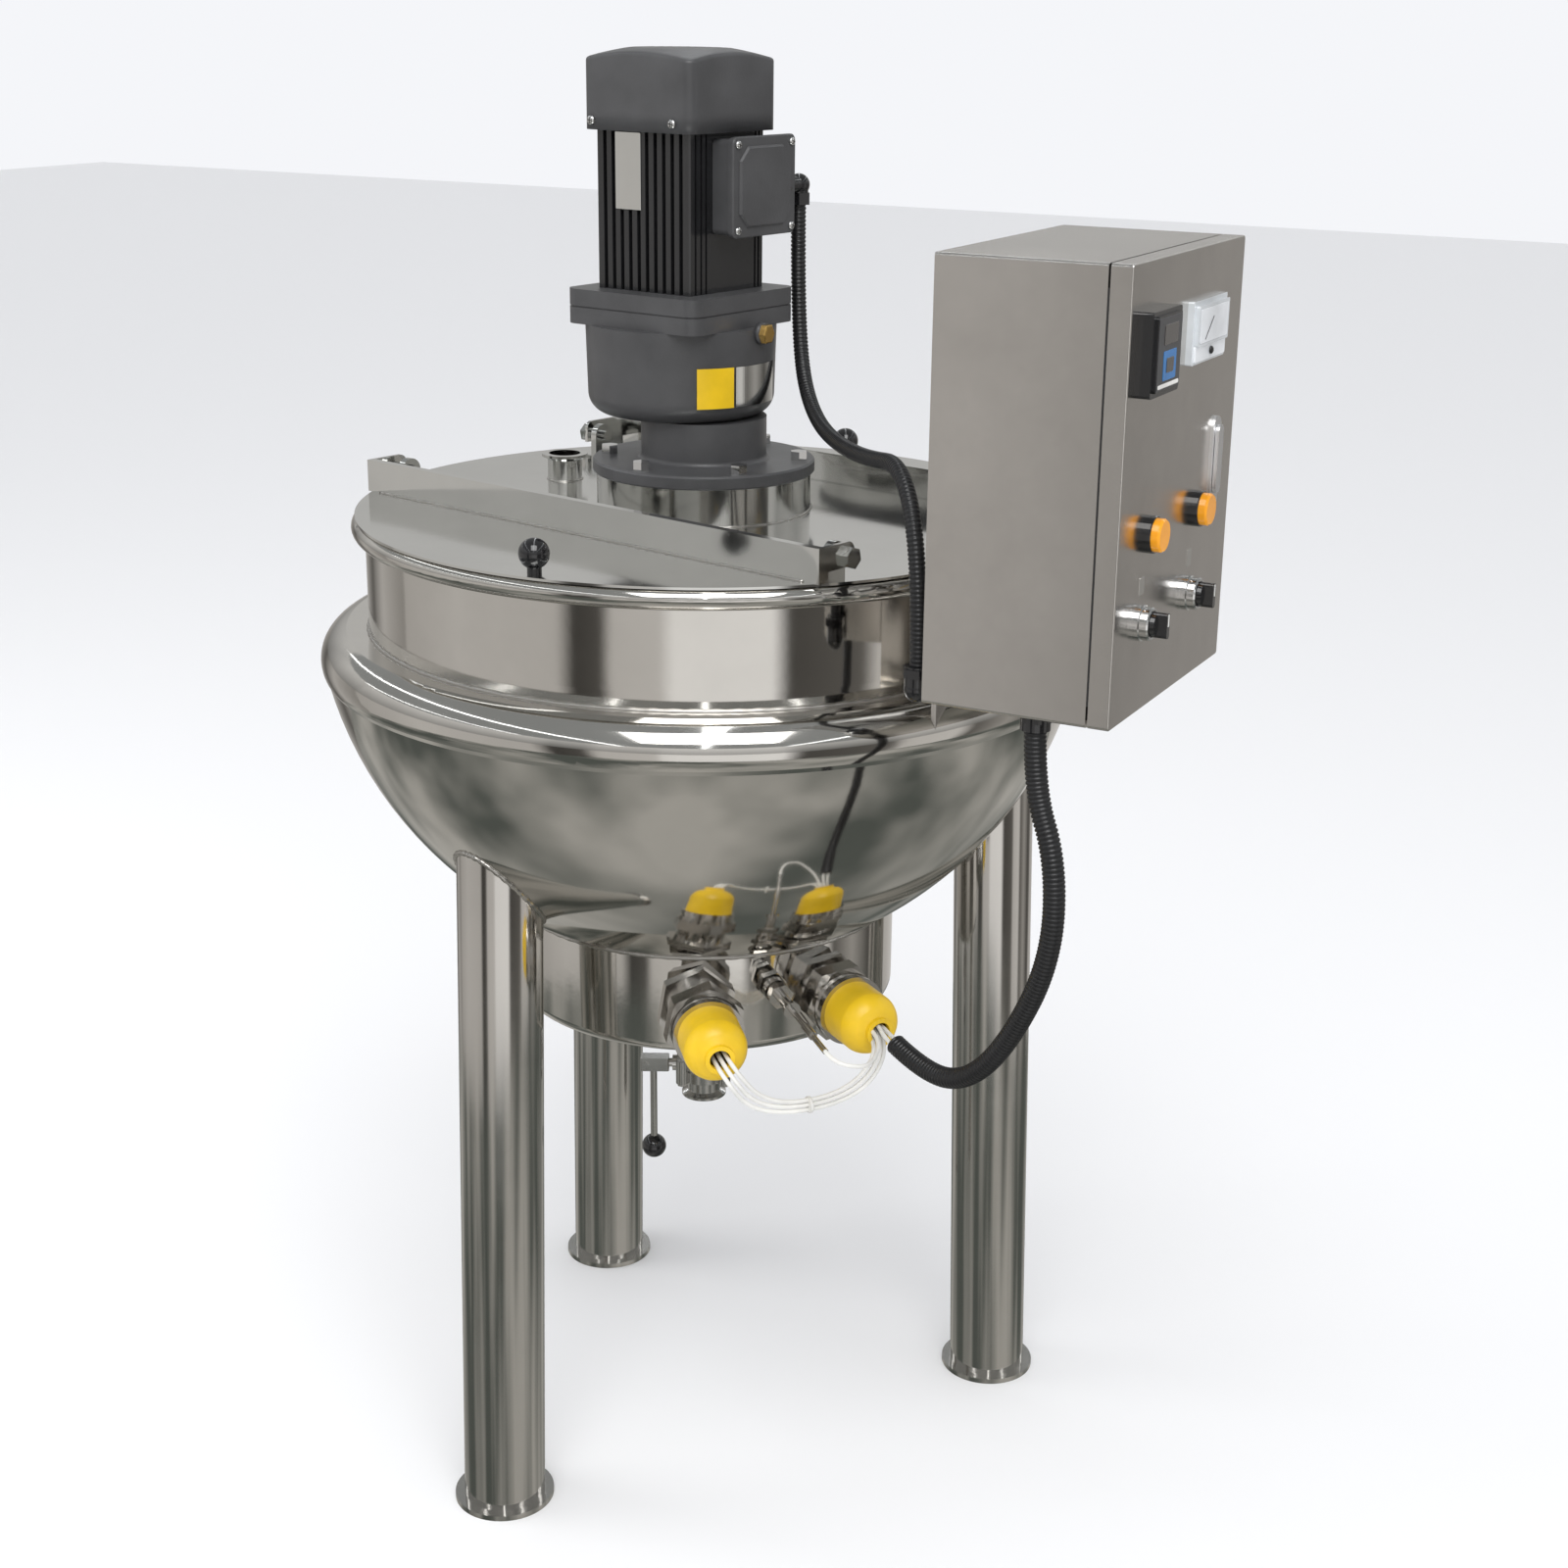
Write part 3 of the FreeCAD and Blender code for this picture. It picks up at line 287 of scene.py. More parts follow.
def tube_mesh(name, points, radii, sides=20):
    """Tube round a line with one radius for each point."""
    verts = []
    normal = Vector((0.3, 0.2, 0.9))
    for i, p in enumerate(points):
        ahead = points[min(i + 1, len(points) - 1)] - points[max(i - 1, 0)]
        ahead.normalize()
        normal = (normal - ahead * normal.dot(ahead)).normalized()
        other = ahead.cross(normal)
        for k in range(sides):
            a = 2 * math.pi * k / sides
            verts.append(p + (normal * math.cos(a) + other * math.sin(a)) * radii[i])
    rows = len(points)
    return solid(name, verts, bands(rows, sides) + caps(rows, sides), True)


def declare(node):
    """Hides the solid of a node that a new cord takes the place of."""
    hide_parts(node)


RIB_STEP = 0.0042
RIB_STEPS = 4
for node in ("motor_conduit", "heater_conduit"):
    line = line_points(line_curve(node + "_line", ROUTES[node]))
    points = resample(line, RIB_STEP / RIB_STEPS)
    wave = (1.0, 0.97, 0.86, 0.97)
    radii = [CONDUIT_R[node] * wave[i % RIB_STEPS] for i in range(len(points))]
    piece = link(tube_mesh(node + "_ribbed", points, radii), "conduit_black")
    declare(node)

for node in ("cap_lead_1", "cap_lead_2", "cap_lead_3", "heater_lead_1", "heater_lead_2",
             "sensor_lead"):
    curve = line_curve(node + "_sleeve", ROUTES[node])
    path = line_points(curve)
    curve.data.bevel_depth = LEAD_R
    curve.data.bevel_resolution = 5
    curve.data.use_fill_caps = True
    link(curve, "lead_white")
    declare(node)


# Small fittings and trim that the solids leave out
POINTED = 1e-6


def lathe(name, profile, at, axis, sides=48, smooth=True):
    """Surface of revolution from (radius, height) pairs, standing at a point along an axis."""
    turn = Vector(axis).to_track_quat("Z", "Y").to_matrix()
    verts = []
    for r, h in profile:
        for k in range(sides):
            a = 2 * math.pi * k / sides
            verts.append(Vector(at) + turn @ Vector((r * math.cos(a), r * math.sin(a), h)))
    open_ends = [profile[0][0] > POINTED, profile[-1][0] > POINTED]
    ends = [face for face, is_open in zip(caps(len(profile), sides), open_ends) if is_open]
    return solid(name, verts, bands(len(profile), sides) + ends, smooth)


def slab(name, centre, right, up, size, thick, radius, edge=0.0006, steps=6):
    """Plate with rounded corners and a bevelled front edge. Its back lies at the centre point."""
    right = Vector(right).normalized()
    up = Vector(up).normalized()
    out = right.cross(up)
    w, h = size[0] / 2, size[1] / 2

    def outline(inset):
        pts = []
        r = max(radius - inset, 1e-5)
        for cx, cy, start in ((1, 1, 0), (-1, 1, 90), (-1, -1, 180), (1, -1, 270)):
            for k in range(steps + 1):
                a = math.radians(start + 90 * k / steps)
                pts.append((cx * (w - inset - r) + r * math.cos(a),
                            cy * (h - inset - r) + r * math.sin(a)))
        return pts

    verts = []
    for inset, level in ((0.0, 0.0), (0.0, thick - edge), (edge, thick)):
        for x, y in outline(inset):
            verts.append(Vector(centre) + right * x + up * y + out * level)
    n = 4 * (steps + 1)
    return solid(name, verts, caps(3, n) + bands(3, n))


def patch(name, centre, radius, azimuths, heights, thick=0.0004, steps=24):
    """Thin sheet that is stuck round an upright cylinder."""
    verts = []
    for r in (radius, radius + thick):
        for z in heights:
            for k in range(steps + 1):
                a = math.radians(azimuths[0] + (azimuths[1] - azimuths[0]) * k / steps)
                verts.append((centre[0] + r * math.cos(a), centre[1] + r * math.sin(a), z))
    n = steps + 1
    faces = []
    for k in range(steps):
        faces.append((2 * n + k, 2 * n + k + 1, 3 * n + k + 1, 3 * n + k))
        faces.append((k + 1, k, n + k, n + k + 1))
        faces.append((k, k + 1, 2 * n + k + 1, 2 * n + k))
        faces.append((3 * n + k, 3 * n + k + 1, n + k + 1, n + k))
    for k in (0, steps):
        faces.append((k, n + k, 3 * n + k, 2 * n + k) if k else (n, 0, 2 * n, 3 * n))
    return solid(name, verts, faces)


def pan_screw(name, at, axis, r, body="kettle", slot="chrome_trim"):
    """Domed screw head with a cross recess."""
    profile = [(r, 0), (r, r * 0.25), (r * 0.9, r * 0.5), (r * 0.6, r * 0.68), (0, r * 0.75)]
    link(lathe(name, profile, at, axis, 24), slot, body=body)
    side = Vector(axis).cross(Vector((0.2, 0.3, 0.95))).normalized()
    up = Vector(axis).cross(side).normalized()
    top = Vector(at) + Vector(axis).normalized() * r * 0.62
    for tag, w, h in (("a", 1.1, 0.22), ("b", 0.22, 1.1)):
        cross = slab(name + "_recess_" + tag, top, up, -side, (r * w, r * h),
                     r * 0.14, r * 0.05, r * 0.02)
        link(cross, "black_plastic", body=body)


ANGLE = math.radians(-12.5)
U = Vector((math.cos(ANGLE), math.sin(ANGLE), 0))
N = Vector((-math.sin(ANGLE), math.cos(ANGLE), 0))
UP = Vector((0, 0, 1))
DRIVE = U * -0.032
MOTOR_ANGLE = math.radians(-8.8)
MU = Vector((math.cos(MOTOR_ANGLE), math.sin(MOTOR_ANGLE), 0))
MN = Vector((-math.sin(MOTOR_ANGLE), math.cos(MOTOR_ANGLE), 0))


def at_motor(u, n, z):
    """Point given by offsets along the sides of the motor and a height."""
    return DRIVE + MU * u + MN * n + UP * z


# Screws of the fan cover, two on each of two opposite sides
FAN_HALF = 0.071
FAN_SCREW_Z = 1.4535
for i, sign in enumerate((-1, 1)):
    for j, shift in enumerate((-0.058, 0.047)):
        spot = at_motor(shift, sign * FAN_HALF, FAN_SCREW_Z)
        pan_screw("fan_screw_%d_%d" % (i, j), spot, MN * sign, 0.0048)

# Blank rating plate on the fins and blank stickers round the gear case
plate = slab("rating_plate", at_motor(-0.0185, -0.0612, 1.405), MU, UP, (0.033, 0.076),
             0.0008, 0.001, 0.0002)
link(plate, "lid_steel")
GEAR_R = 0.1
STICKER_Z = (1.1740, 1.2150)
link(patch("yellow_plate", DRIVE, GEAR_R, (-50.7, -27.4), STICKER_Z), "yellow_plastic")
link(patch("silver_plate", DRIVE, GEAR_R, (-25.9, 11.5), STICKER_Z), "lid_steel")

# Brass filler plug high on the gear case
PLUG_ANGLE = math.radians(-5)
PLUG_Z = 1.2460
plug_way = Vector((math.cos(PLUG_ANGLE), math.sin(PLUG_ANGLE), 0))
plug_at = DRIVE + plug_way * (GEAR_R - 0.002) + UP * PLUG_Z
link(lathe("plug_boss", [(0.011, 0), (0.011, 0.006), (0, 0.006)], plug_at, plug_way), "drive_paint")
plug_head = [(0.0105, 0.006), (0.0105, 0.012), (0.009, 0.013), (0, 0.013)]
link(lathe("plug_hex", plug_head, plug_at, plug_way, 6, False), "brass")

# Finned motor body: deep vertical grooves, with a flat land under the terminal box
MOTOR_HALF = 0.06075
MOTOR_LOW = 1.2858
COVER_LOW = 1.4443
GROOVE = 0.0046
GROOVE_DEPTH = 0.009
CORNER = 0.0015


def finned_outline():
    """Outline of the motor, side by side, with its grooves."""
    all_round = [-0.0495 + 0.011 * i for i in range(10)]
    beside_box = [-0.0515, -0.0425, -0.0345, 0.0465, 0.0525]
    points = []
    for out, over, centres in ((MU, MN, beside_box), (MN, -MU, all_round),
                               (-MU, -MN, all_round), (-MN, MU, all_round)):
        width = GROOVE if centres is all_round else GROOVE * 0.6
        steps = [(-MOTOR_HALF + CORNER, 0.0)]
        for c in centres:
            steps += [(c - width / 2, 0.0), (c - width / 2 + 0.0004, -GROOVE_DEPTH),
                      (c + width / 2 - 0.0004, -GROOVE_DEPTH), (c + width / 2, 0.0)]
        steps.append((MOTOR_HALF - CORNER, 0.0))
        points += [out * (MOTOR_HALF + drop) + over * along for along, drop in steps]
    return points


def prism(name, outline, low, high):
    """Upright solid over an outline about the motor axis."""
    n = len(outline)
    verts = [DRIVE + q + UP * z for z in (low, high) for q in outline]
    return solid(name, verts, bands(2, n) + caps(2, n))


fins = prism("motor_fins", finned_outline(), MOTOR_LOW, COVER_LOW + 0.006)
motor = link(fins, "motor_paint")
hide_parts("motor_body")

# Fan cover: square sheet hood whose top rises from the corners to a flat middle
COVER_TOP = 1.524
CROWN_R = 0.330
CROWN_CUT = 0.004
COVER_CORNER = 0.012
CORNER_STEPS = 8
SIDE_STEPS = 12


def square_loop(half, radius):
    """Rounded square about the motor axis, evenly stepped along its sides."""
    flat = half - radius
    points = []
    for quarter in range(4):
        turn = Matrix.Rotation(math.pi / 2 * quarter, 3, "Z")
        for k in range(SIDE_STEPS):
            points.append(turn @ Vector((half, -flat + 2 * flat * k / SIDE_STEPS, 0)))
        for k in range(CORNER_STEPS):
            a = math.pi / 2 * k / CORNER_STEPS
            points.append(turn @ Vector((flat + radius * math.cos(a), flat + radius * math.sin(a), 0)))
    return [MU * q.x + MN * q.y for q in points]


def crown(q):
    """Height of the hood's top over a point."""
    return min(COVER_TOP, COVER_TOP + CROWN_CUT - q.length_squared / (2 * CROWN_R))


def hood(name):
    """Sides of the hood, its rounded rim and its top, as loops from the lower edge inwards."""
    loops = [[q + UP * COVER_LOW for q in square_loop(FAN_HALF - 0.0025, COVER_CORNER - 0.0025)],
             [q + UP * COVER_LOW for q in square_loop(FAN_HALF, COVER_CORNER)]]
    for level in (0.25, 0.5, 0.75):
        loops.append([q + UP * (COVER_LOW + (crown(q) - COVER_LOW) * level)
                      for q in square_loop(FAN_HALF, COVER_CORNER)])
    for inset, drop in ((0.0, 0.0032), (0.0003, 0.0016), (0.0012, 0.0005), (0.003, 0.0)):
        rim = square_loop(FAN_HALF - inset, COVER_CORNER - inset)
        loops.append([q + UP * (crown(q) - drop) for q in rim])
    for i in range(1, 14):
        half = (FAN_HALF - 0.003) * (1 - i / 14)
        ring = square_loop(half, (COVER_CORNER - 0.003) * (1 - i / 14))
        loops.append([q + UP * crown(q) for q in ring])
    n = len(loops[0])
    verts = [DRIVE + q for loop in loops for q in loop]
    return solid(name, verts, bands(len(loops), n) + caps(len(loops), n), True)


cover = link(hood("fan_hood"), "drive_paint")
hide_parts("fan_cover")

# Terminal box: base, flanged cover, raised panel with cut corners, screws
BOX_N = (-0.0265, 0.078)
BOX_LOW, BOX_HIGH = 1.342, 1.441
mid_n = (BOX_N[0] + BOX_N[1]) / 2
mid_z = (BOX_LOW + BOX_HIGH) / 2
wide = BOX_N[1] - BOX_N[0]
tall = BOX_HIGH - BOX_LOW


def box_slab(name, u, grow, thick, radius, edge, steps=6):
    """Plate of the terminal box, centred on it and standing out from the motor."""
    size = (wide + grow, tall + grow)
    return slab(name, at_motor(u, mid_n, mid_z), MN, UP, size, thick, radius, edge, steps)


base = link(box_slab("terminal_base", MOTOR_HALF - 0.0006, -0.005, 0.0225, 0.006, 0.0006), "drive_paint")
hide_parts("terminal_box")
link(box_slab("terminal_flange", MOTOR_HALF + 0.0205, -0.0016, 0.0035, 0.006, 0.0008), "drive_paint")
lid_top = link(box_slab("terminal_lid", MOTOR_HALF + 0.0236, 0.0, 0.0045, 0.007, 0.0012), "drive_paint")
link(box_slab("terminal_panel", MOTOR_HALF + 0.028, -0.019, 0.0028, 0.014, 0.0022, 1), "drive_paint")
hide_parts("terminal_cover")
SCREW_INSET = 0.0075
for i, (sn, sz) in enumerate(((-1, -1), (1, -1), (-1, 1), (1, 1))):
    across = mid_n + sn * (wide / 2 - SCREW_INSET)
    spot = at_motor(MOTOR_HALF + 0.0281, across, mid_z + sz * (tall / 2 - SCREW_INSET))
    pan_screw("terminal_screw_%d" % i, spot, MU, 0.0042)

# Black rings under the lamp lenses and pointers on the selector knobs
FACE_X = 0.566
BOX_Y = -0.2825
BOX_Z = 0.9704
FACE_WAY = (1, 0, 0)
FACE_RIGHT = (0, 1, 0)
LAMPS = (("1", 0.073), ("2", 0.201))
LAMP_UP = 0.162
SELECTORS = (("1", 0.061), ("2", 0.189))
SELECTOR_UP = 0.085
for tag, y in LAMPS:
    spot = (FACE_X, BOX_Y + y, BOX_Z + LAMP_UP)
    ring = [(0.0167, 0), (0.0167, 0.0070), (0.0162, 0.0078), (0.0150, 0.0078), (0.0150, 0.004)]
    link(lathe("lamp_ring_" + tag, ring, spot, FACE_WAY, 40, False), "black_plastic", body="door")
for tag, y in SELECTORS:
    mark = slab("pointer_" + tag, (FACE_X + 0.028, BOX_Y + y, BOX_Z + SELECTOR_UP + 0.005), FACE_RIGHT, UP,
                (0.0018, 0.011), 0.0004, 0.0003, 0.0001)
    link(mark, "lead_white", body="selector_" + tag)

# Collars of the selectors and bare label places above them
for tag, y in SELECTORS:
    spot = (FACE_X, BOX_Y + y, BOX_Z + SELECTOR_UP)
    collar = [(0.0162, 0), (0.0162, 0.0050), (0.0150, 0.0060), (0.0150, 0.0125), (0.0140, 0.0140),
              (0.0122, 0.0140), (0.0122, 0.004)]
    link(lathe("collar_" + tag, collar, spot, FACE_WAY, 40, False), "chrome_trim", body="door")
    label = slab("label_place_" + tag, (FACE_X, BOX_Y + y + 0.004, BOX_Z + 0.117), FACE_RIGHT, UP,
                 (0.012, 0.016), 0.0004, 0.001, 0.0001)
    link(label, "lid_steel", body="door")

# Face of the controller: small display, blue keypad and a pale strip, without legends
CTRL_HALF = 0.036
ctrl_y = BOX_Y + 0.016 + CTRL_HALF
ctrl_z = BOX_Z + 0.288 + CTRL_HALF
FACE_PARTS = (
    ("plate", 0.0, 0.0, 0.057, 0.061, 0.0006, "drive_paint"),
    ("display", 0.002, 0.0155, 0.034, 0.017, 0.0010, "smoke_glass"),
    ("keypad", 0.001, -0.0105, 0.032, 0.025, 0.0010, "blue_film"),
    ("readout", 0.001, -0.0105, 0.018, 0.0125, 0.0014, "smoke_glass"),
    ("strip", 0.0, -0.0270, 0.052, 0.0035, 0.0010, "lead_white"))
for name, y, z, w, h, thick, look in FACE_PARTS:
    piece = slab("controller_" + name, (FACE_X + 0.0164, ctrl_y + y, ctrl_z + z), FACE_RIGHT, UP,
                 (w, h), thick, 0.0015, 0.0002)
    link(piece, look, "door")

# Panel meter: white dial with a needle behind clear plastic, and a plain lower half
meter_y = BOX_Y + 0.145 + 0.046
meter_z = BOX_Z + 0.299
METER_SCREW_UP = 0.0095
lower = slab("meter_lower", (FACE_X + 0.0058, meter_y, meter_z + METER_SCREW_UP), FACE_RIGHT, UP,
             (0.084, 0.0150), 0.0022, 0.002, 0.0006)
link(lower, "dial_white", "door")
dial = slab("meter_dial", (FACE_X + 0.0101, meter_y, meter_z + 0.034), FACE_RIGHT, UP,
            (0.076, 0.030), 0.0004, 0.002, 0.0001)
link(dial, "dial_white", "door")
needle = slab("meter_needle", (FACE_X + 0.0106, meter_y - 0.014, meter_z + 0.031),
              (0, 0.75, 0.66), (0, -0.66, 0.75), (0.028, 0.0009), 0.0003, 0.0003, 0.0001)
link(needle, "black_plastic", body="door")
screw_at = (FACE_X + 0.0080, meter_y, meter_z + METER_SCREW_UP)
pan_screw("meter_screw", screw_at, FACE_WAY, 0.0036, "door", "black_plastic")


# Weld beads where the legs meet the jacket and along the seams of the shell
RIPPLE = 0.16
RIPPLE_TURN = 1.9
BEAD_SIDES = 10


def rippled(radius, count):
    """Radii along a weld bead."""
    return [radius * (1.0 + RIPPLE * math.sin(i * RIPPLE_TURN)) for i in range(count)]


def bead(name, points, radius):
    """Closed weld bead on the kettle, along a ring of points."""
    radii = rippled(radius, len(points))
    link(tube_mesh(name, points + [points[0]], radii + [radii[0]], BEAD_SIDES), "weld")


DISH_R = 0.412
DISH_Z = 0.981
LEG_R = 0.044
LEG_STEPS = 120
LEAN = math.tan(math.radians(1.5))
LEGS = (("front", -0.0745, -0.3135), ("right", 0.2875, 0.1895), ("back", -0.2575, 0.1985))
for tag, x, y in LEGS:
    r = math.hypot(x, y)
    axis = Vector((-x / r * LEAN, -y / r * LEAN, 1)).normalized()
    side = axis.cross(Vector((1, 0, 0))).normalized()
    other = axis.cross(side)
    ring = []
    for k in range(LEG_STEPS):
        a = 2 * math.pi * k / LEG_STEPS
        foot = Vector((x, y, 0)) + (side * math.cos(a) + other * math.sin(a)) * LEG_R
        rel = foot - Vector((0, 0, DISH_Z))
        b = rel.dot(axis)
        ring.append(foot + axis * (-b - math.sqrt(b * b - rel.length_squared + DISH_R ** 2)))
    bead("weld_leg_" + tag, ring, 0.0028)


def hoop(radius, z, count=360):
    """Level ring of points round the kettle's axis."""
    turns = [2 * math.pi * k / count for k in range(count)]
    return [Vector((radius * math.cos(a), radius * math.sin(a), z)) for a in turns]


LID_TOP = 1.0594
bead("weld_shoulder", hoop(0.3562, 0.9375), 0.0022)
bead("weld_sump", hoop(0.2117, 0.6272, 260), 0.0022)
bead("weld_ring", hoop(0.1131, LID_TOP, 160), 0.0016)
port = U * -0.211 + N * 0.002
bead("weld_nozzle", [p + port for p in hoop(0.0191, LID_TOP, 48)], 0.0013)

# Weld along the foot of each cover's bar
BAR_FACE = 0.192
BAR_WELD_HALF = 0.298
BAR_WELD_Z = 1.0596
BAR_WELD_STEPS = 150
for tag, side in (("front", -1), ("back", 1)):
    line = [U * (BAR_WELD_HALF * (2 * k / BAR_WELD_STEPS - 1)) + N * (side * BAR_FACE) + UP * BAR_WELD_Z
            for k in range(BAR_WELD_STEPS + 1)]
    weld = tube_mesh("weld_bar_" + tag, line, rippled(0.0015, len(line)), BEAD_SIDES)
    link(weld, "weld", tag + "_cover")

# Tie round the three leads between the caps
tie_at = Vector((0.2560, -0.2355, 0.5185))
tie = lathe("lead_tie", [(0.0078, -0.0013), (0.0086, -0.0013), (0.0086, 0.0013), (0.0078, 0.0013)],
            tie_at, (0.62, 0.78, 0.0), 28)
link(tie, "lead_white")

# Camera at the photograph's station
AZIMUTH = 27.455
ELEVATION = 18.395
ROLL = 0.70
EYE = Vector((1.2294, -2.1545, 1.5785))
FOCAL_PX = 2414.4
FRAME_PX = 1600.0
SENSOR_MM = 36.0
CENTRE_PX = (808.5, 794.7)


def aim(azimuth, elevation, roll):
    """Camera rotation for a view azimuth, a downward elevation and a roll, in degrees."""
    a = math.radians(azimuth)
    e = math.radians(elevation)
    back = Vector((math.sin(a) * math.cos(e), -math.cos(a) * math.cos(e), math.sin(e)))
    right = Vector((math.cos(a), math.sin(a), 0.0))
    up = back.cross(right)
    turn = Matrix((right, up, back)).transposed()
    return (turn @ Matrix.Rotation(math.radians(roll), 3, "Z")).to_4x4()


camera_data = bpy.data.cameras.new("camera")
camera_data.sensor_width = SENSOR_MM
camera_data.lens = FOCAL_PX / FRAME_PX * SENSOR_MM
camera_data.shift_x = (FRAME_PX / 2 - CENTRE_PX[0]) / FRAME_PX
camera_data.shift_y = (CENTRE_PX[1] - FRAME_PX / 2) / FRAME_PX
camera = bpy.data.objects.new("camera", camera_data)
camera.matrix_world = Matrix.Translation(EYE) @ aim(AZIMUTH, ELEVATION, ROLL)
SCENE.collection.objects.link(camera)
SCENE.camera = camera


def card(name, size, place, look_at, color):
    """Flat matt stage card that faces a point."""
    mesh = bpy.data.meshes.new(name)
    x, y = size[0] / 2, size[1] / 2
    mesh.from_pydata([(-x, -y, 0), (x, -y, 0), (x, y, 0), (-x, y, 0)], [], [(0, 1, 2, 3)])
    obj = bpy.data.objects.new(name, mesh)
    SCENE.collection.objects.link(obj)
    obj.location = place
    obj.rotation_euler = (Vector(look_at) - Vector(place)).to_track_quat("Z", "Y").to_euler()
    mesh.materials.append(material(name, color, 0.9)[0])
    return obj


floor = card("floor", (30, 30), (0, 0, 0), (0, 0, 1), (0.84, 0.84, 0.84))
floor.visible_glossy = False


def angle_of(tree, x, y):
    """Angle of a direction round the vertical, in radians."""
    node = add(tree, "ShaderNodeMath", operation="ARCTAN2")
    tree.links.new(y, node.inputs[0])
    tree.links.new(x, node.inputs[1])
    return node.outputs[0]


def combine(tree, operation, a, b, c=None):
    """One maths node. Its inputs are sockets or numbers."""
    node = add(tree, "ShaderNodeMath", operation=operation)
    for i, value in enumerate((a, b, c)):
        if value is None:
            continue
        if isinstance(value, (int, float)):
            node.inputs[i].default_value = value
        else:
            tree.links.new(value, node.inputs[i])
    return node.outputs[0]


def blend_colors(tree, factor, first, second):
    """Mix of two colours, each a socket or three numbers."""
    node = add(tree, "ShaderNodeMix", data_type="RGBA")
    tree.links.new(factor, node.inputs[0])
    for socket, value in ((node.inputs[6], first), (node.inputs[7], second)):
        if isinstance(value, tuple):
            socket.default_value = (*value, 1)
        else:
            tree.links.new(value, socket)
    return node.outputs[2]


# Brightness of the workshop's walls by azimuth in degrees, with a warm tint where they are dark
WALLS = ((-180, 0.46), (-150, 0.58), (-110, 0.54), (-104, 0.06), (-95, 0.09), (-91, 0.58), (-75, 0.62),
         (-70, 0.92), (-38, 0.95), (-32, 0.08), (-6, 0.13), (0, 0.60), (18, 0.68), (24, 0.14), (40, 0.38),
         (58, 0.08), (80, 0.48), (112, 0.60), (135, 0.40), (150, 0.12), (162, 0.48), (180, 0.30))
FLOOR_EDGE = -0.40
CEILING_EDGE = 0.36
LAMP_ROW_SHARE = 0.06


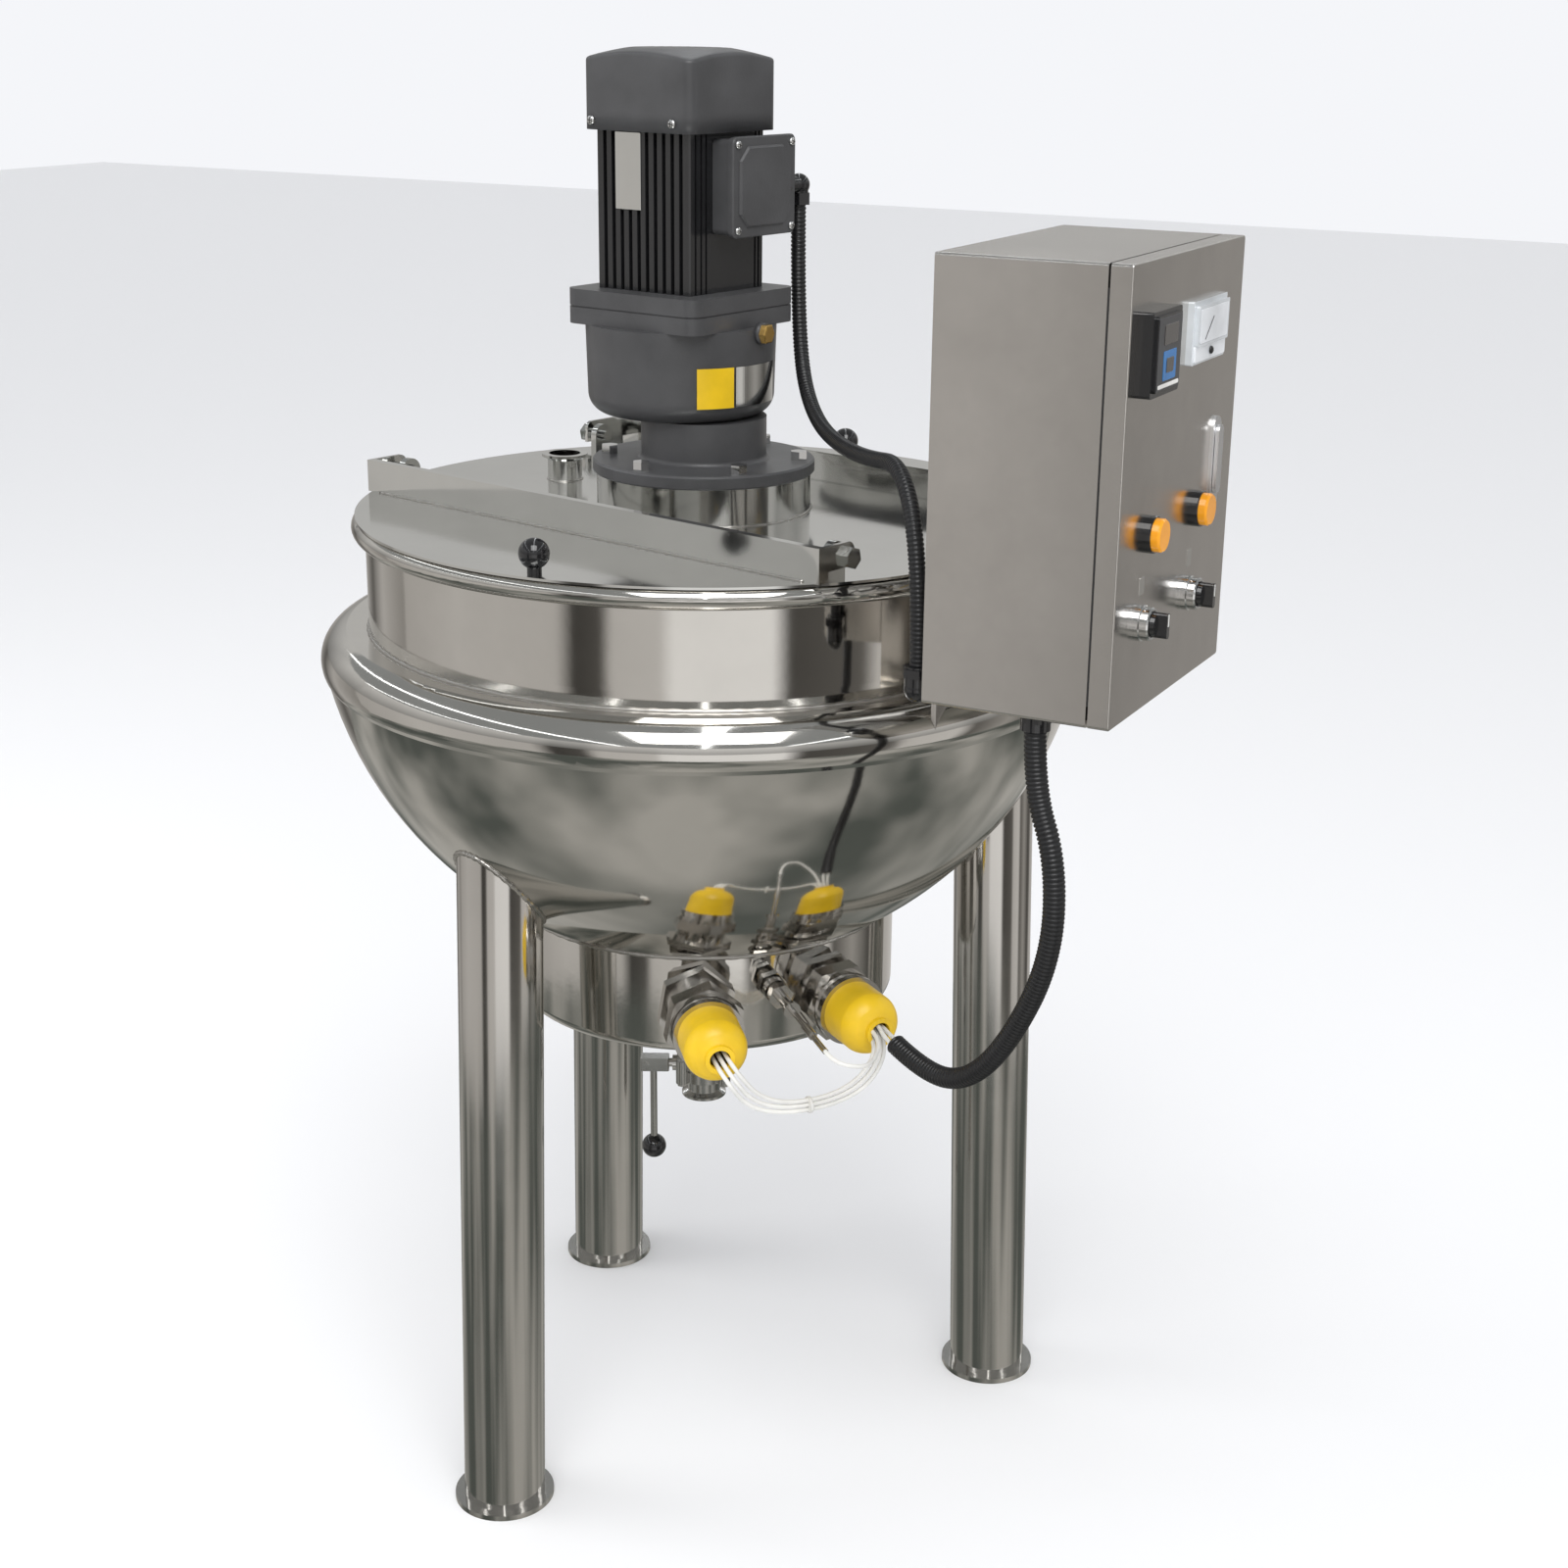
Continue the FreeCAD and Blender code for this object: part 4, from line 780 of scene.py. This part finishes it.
def room(tree):
    """Workshop that only mirror rays see: dark floor, panelled walls, ceiling with lamp rows."""
    place = add(tree, "ShaderNodeTexCoord")
    parts = add(tree, "ShaderNodeSeparateXYZ")
    tree.links.new(place.outputs["Generated"], parts.inputs[0])
    x, y, z = parts.outputs
    turn = angle_of(tree, x, y)
    stops = add(tree, "ShaderNodeValToRGB")
    for i, (azimuth, light) in enumerate(WALLS):
        at = azimuth / 360 + 0.5
        if i > 1:
            stops.color_ramp.elements.new(at)
        stops.color_ramp.elements[i].position = at
        tint = (light, light * (0.94 + 0.05 * light), light * (0.86 + 0.12 * light), 1)
        stops.color_ramp.elements[i].color = tint
    tree.links.new(combine(tree, "MULTIPLY_ADD", turn, 1 / (2 * math.pi), 0.5), stops.inputs["Fac"])
    above = combine(tree, "GREATER_THAN", z, 0.0)
    upper = ramp(tree, z, (0.27, 0.27, 0.265), (0.74, 0.74, 0.73), (0.02, CEILING_EDGE))
    walls = blend_colors(tree, combine(tree, "MULTIPLY", above, 0.7), stops.outputs["Color"], upper)

    height = combine(tree, "MAXIMUM", combine(tree, "ABSOLUTE", z, 0.0), 0.02)
    plan_x = combine(tree, "DIVIDE", x, height)
    plan_y = combine(tree, "DIVIDE", y, height)
    slant = (combine(tree, "MULTIPLY", plan_x, 0.8), combine(tree, "MULTIPLY", plan_y, 0.45))
    across = combine(tree, "ADD", *slant)
    rows = combine(tree, "LESS_THAN", combine(tree, "FRACT", across, 0.0), LAMP_ROW_SHARE)
    ceiling = blend_colors(tree, rows, (0.30, 0.31, 0.31), (4.0, 4.1, 4.2))

    spots = add(tree, "ShaderNodeCombineXYZ")
    tree.links.new(plan_x, spots.inputs[0])
    tree.links.new(plan_y, spots.inputs[1])
    stain = add(tree, "ShaderNodeTexNoise", Scale=0.9, Detail=3.0, Roughness=0.5)
    tree.links.new(spots.outputs[0], stain.inputs["Vector"])
    ground = ramp(tree, stain.outputs["Fac"], (0.10, 0.11, 0.10), (0.46, 0.45, 0.42), (0.40, 0.62))

    low = combine(tree, "LESS_THAN", z, FLOOR_EDGE)
    high = combine(tree, "GREATER_THAN", z, CEILING_EDGE)
    return blend_colors(tree, low, blend_colors(tree, high, walls, ceiling), ground)


# Mirror rays see the room, all others a plain pale surround
world = bpy.data.worlds.new("studio")
SCENE.world = world
world.use_nodes = True
SKY = world.node_tree
plain = SKY.nodes["Background"]
plain.inputs["Color"].default_value = (0.96, 0.97, 1.0, 1)
plain.inputs["Strength"].default_value = 0.95
mirrored = add(SKY, "ShaderNodeBackground")
SKY.links.new(room(SKY), mirrored.inputs["Color"])
path_kind = add(SKY, "ShaderNodeLightPath")
choose = add(SKY, "ShaderNodeMixShader")
SKY.links.new(path_kind.outputs["Is Glossy Ray"], choose.inputs[0])
SKY.links.new(plain.outputs[0], choose.inputs[1])
SKY.links.new(mirrored.outputs[0], choose.inputs[2])
SKY.links.new(choose.outputs[0], SKY.nodes["World Output"].inputs["Surface"])


def area_light(name, place, look_at, size, power, mirrored):
    """Rectangular lamp that faces a point. It may be hidden from mirror rays."""
    light = bpy.data.lights.new(name, "AREA")
    light.shape = "RECTANGLE"
    light.size, light.size_y = size
    light.energy = power
    obj = bpy.data.objects.new(name, light)
    obj.location = place
    obj.rotation_euler = (Vector(look_at) - Vector(place)).to_track_quat("-Z", "Y").to_euler()
    obj.visible_glossy = mirrored
    SCENE.collection.objects.link(obj)


area_light("key", (1.5, -2.5, 4.5), (0, 0, 0.8), (3, 3), 120, True)
area_light("fill", (-3.5, -1.5, 2.5), (0, 0, 0.8), (2, 3), 45, False)

SCENE.view_settings.view_transform = "Standard"
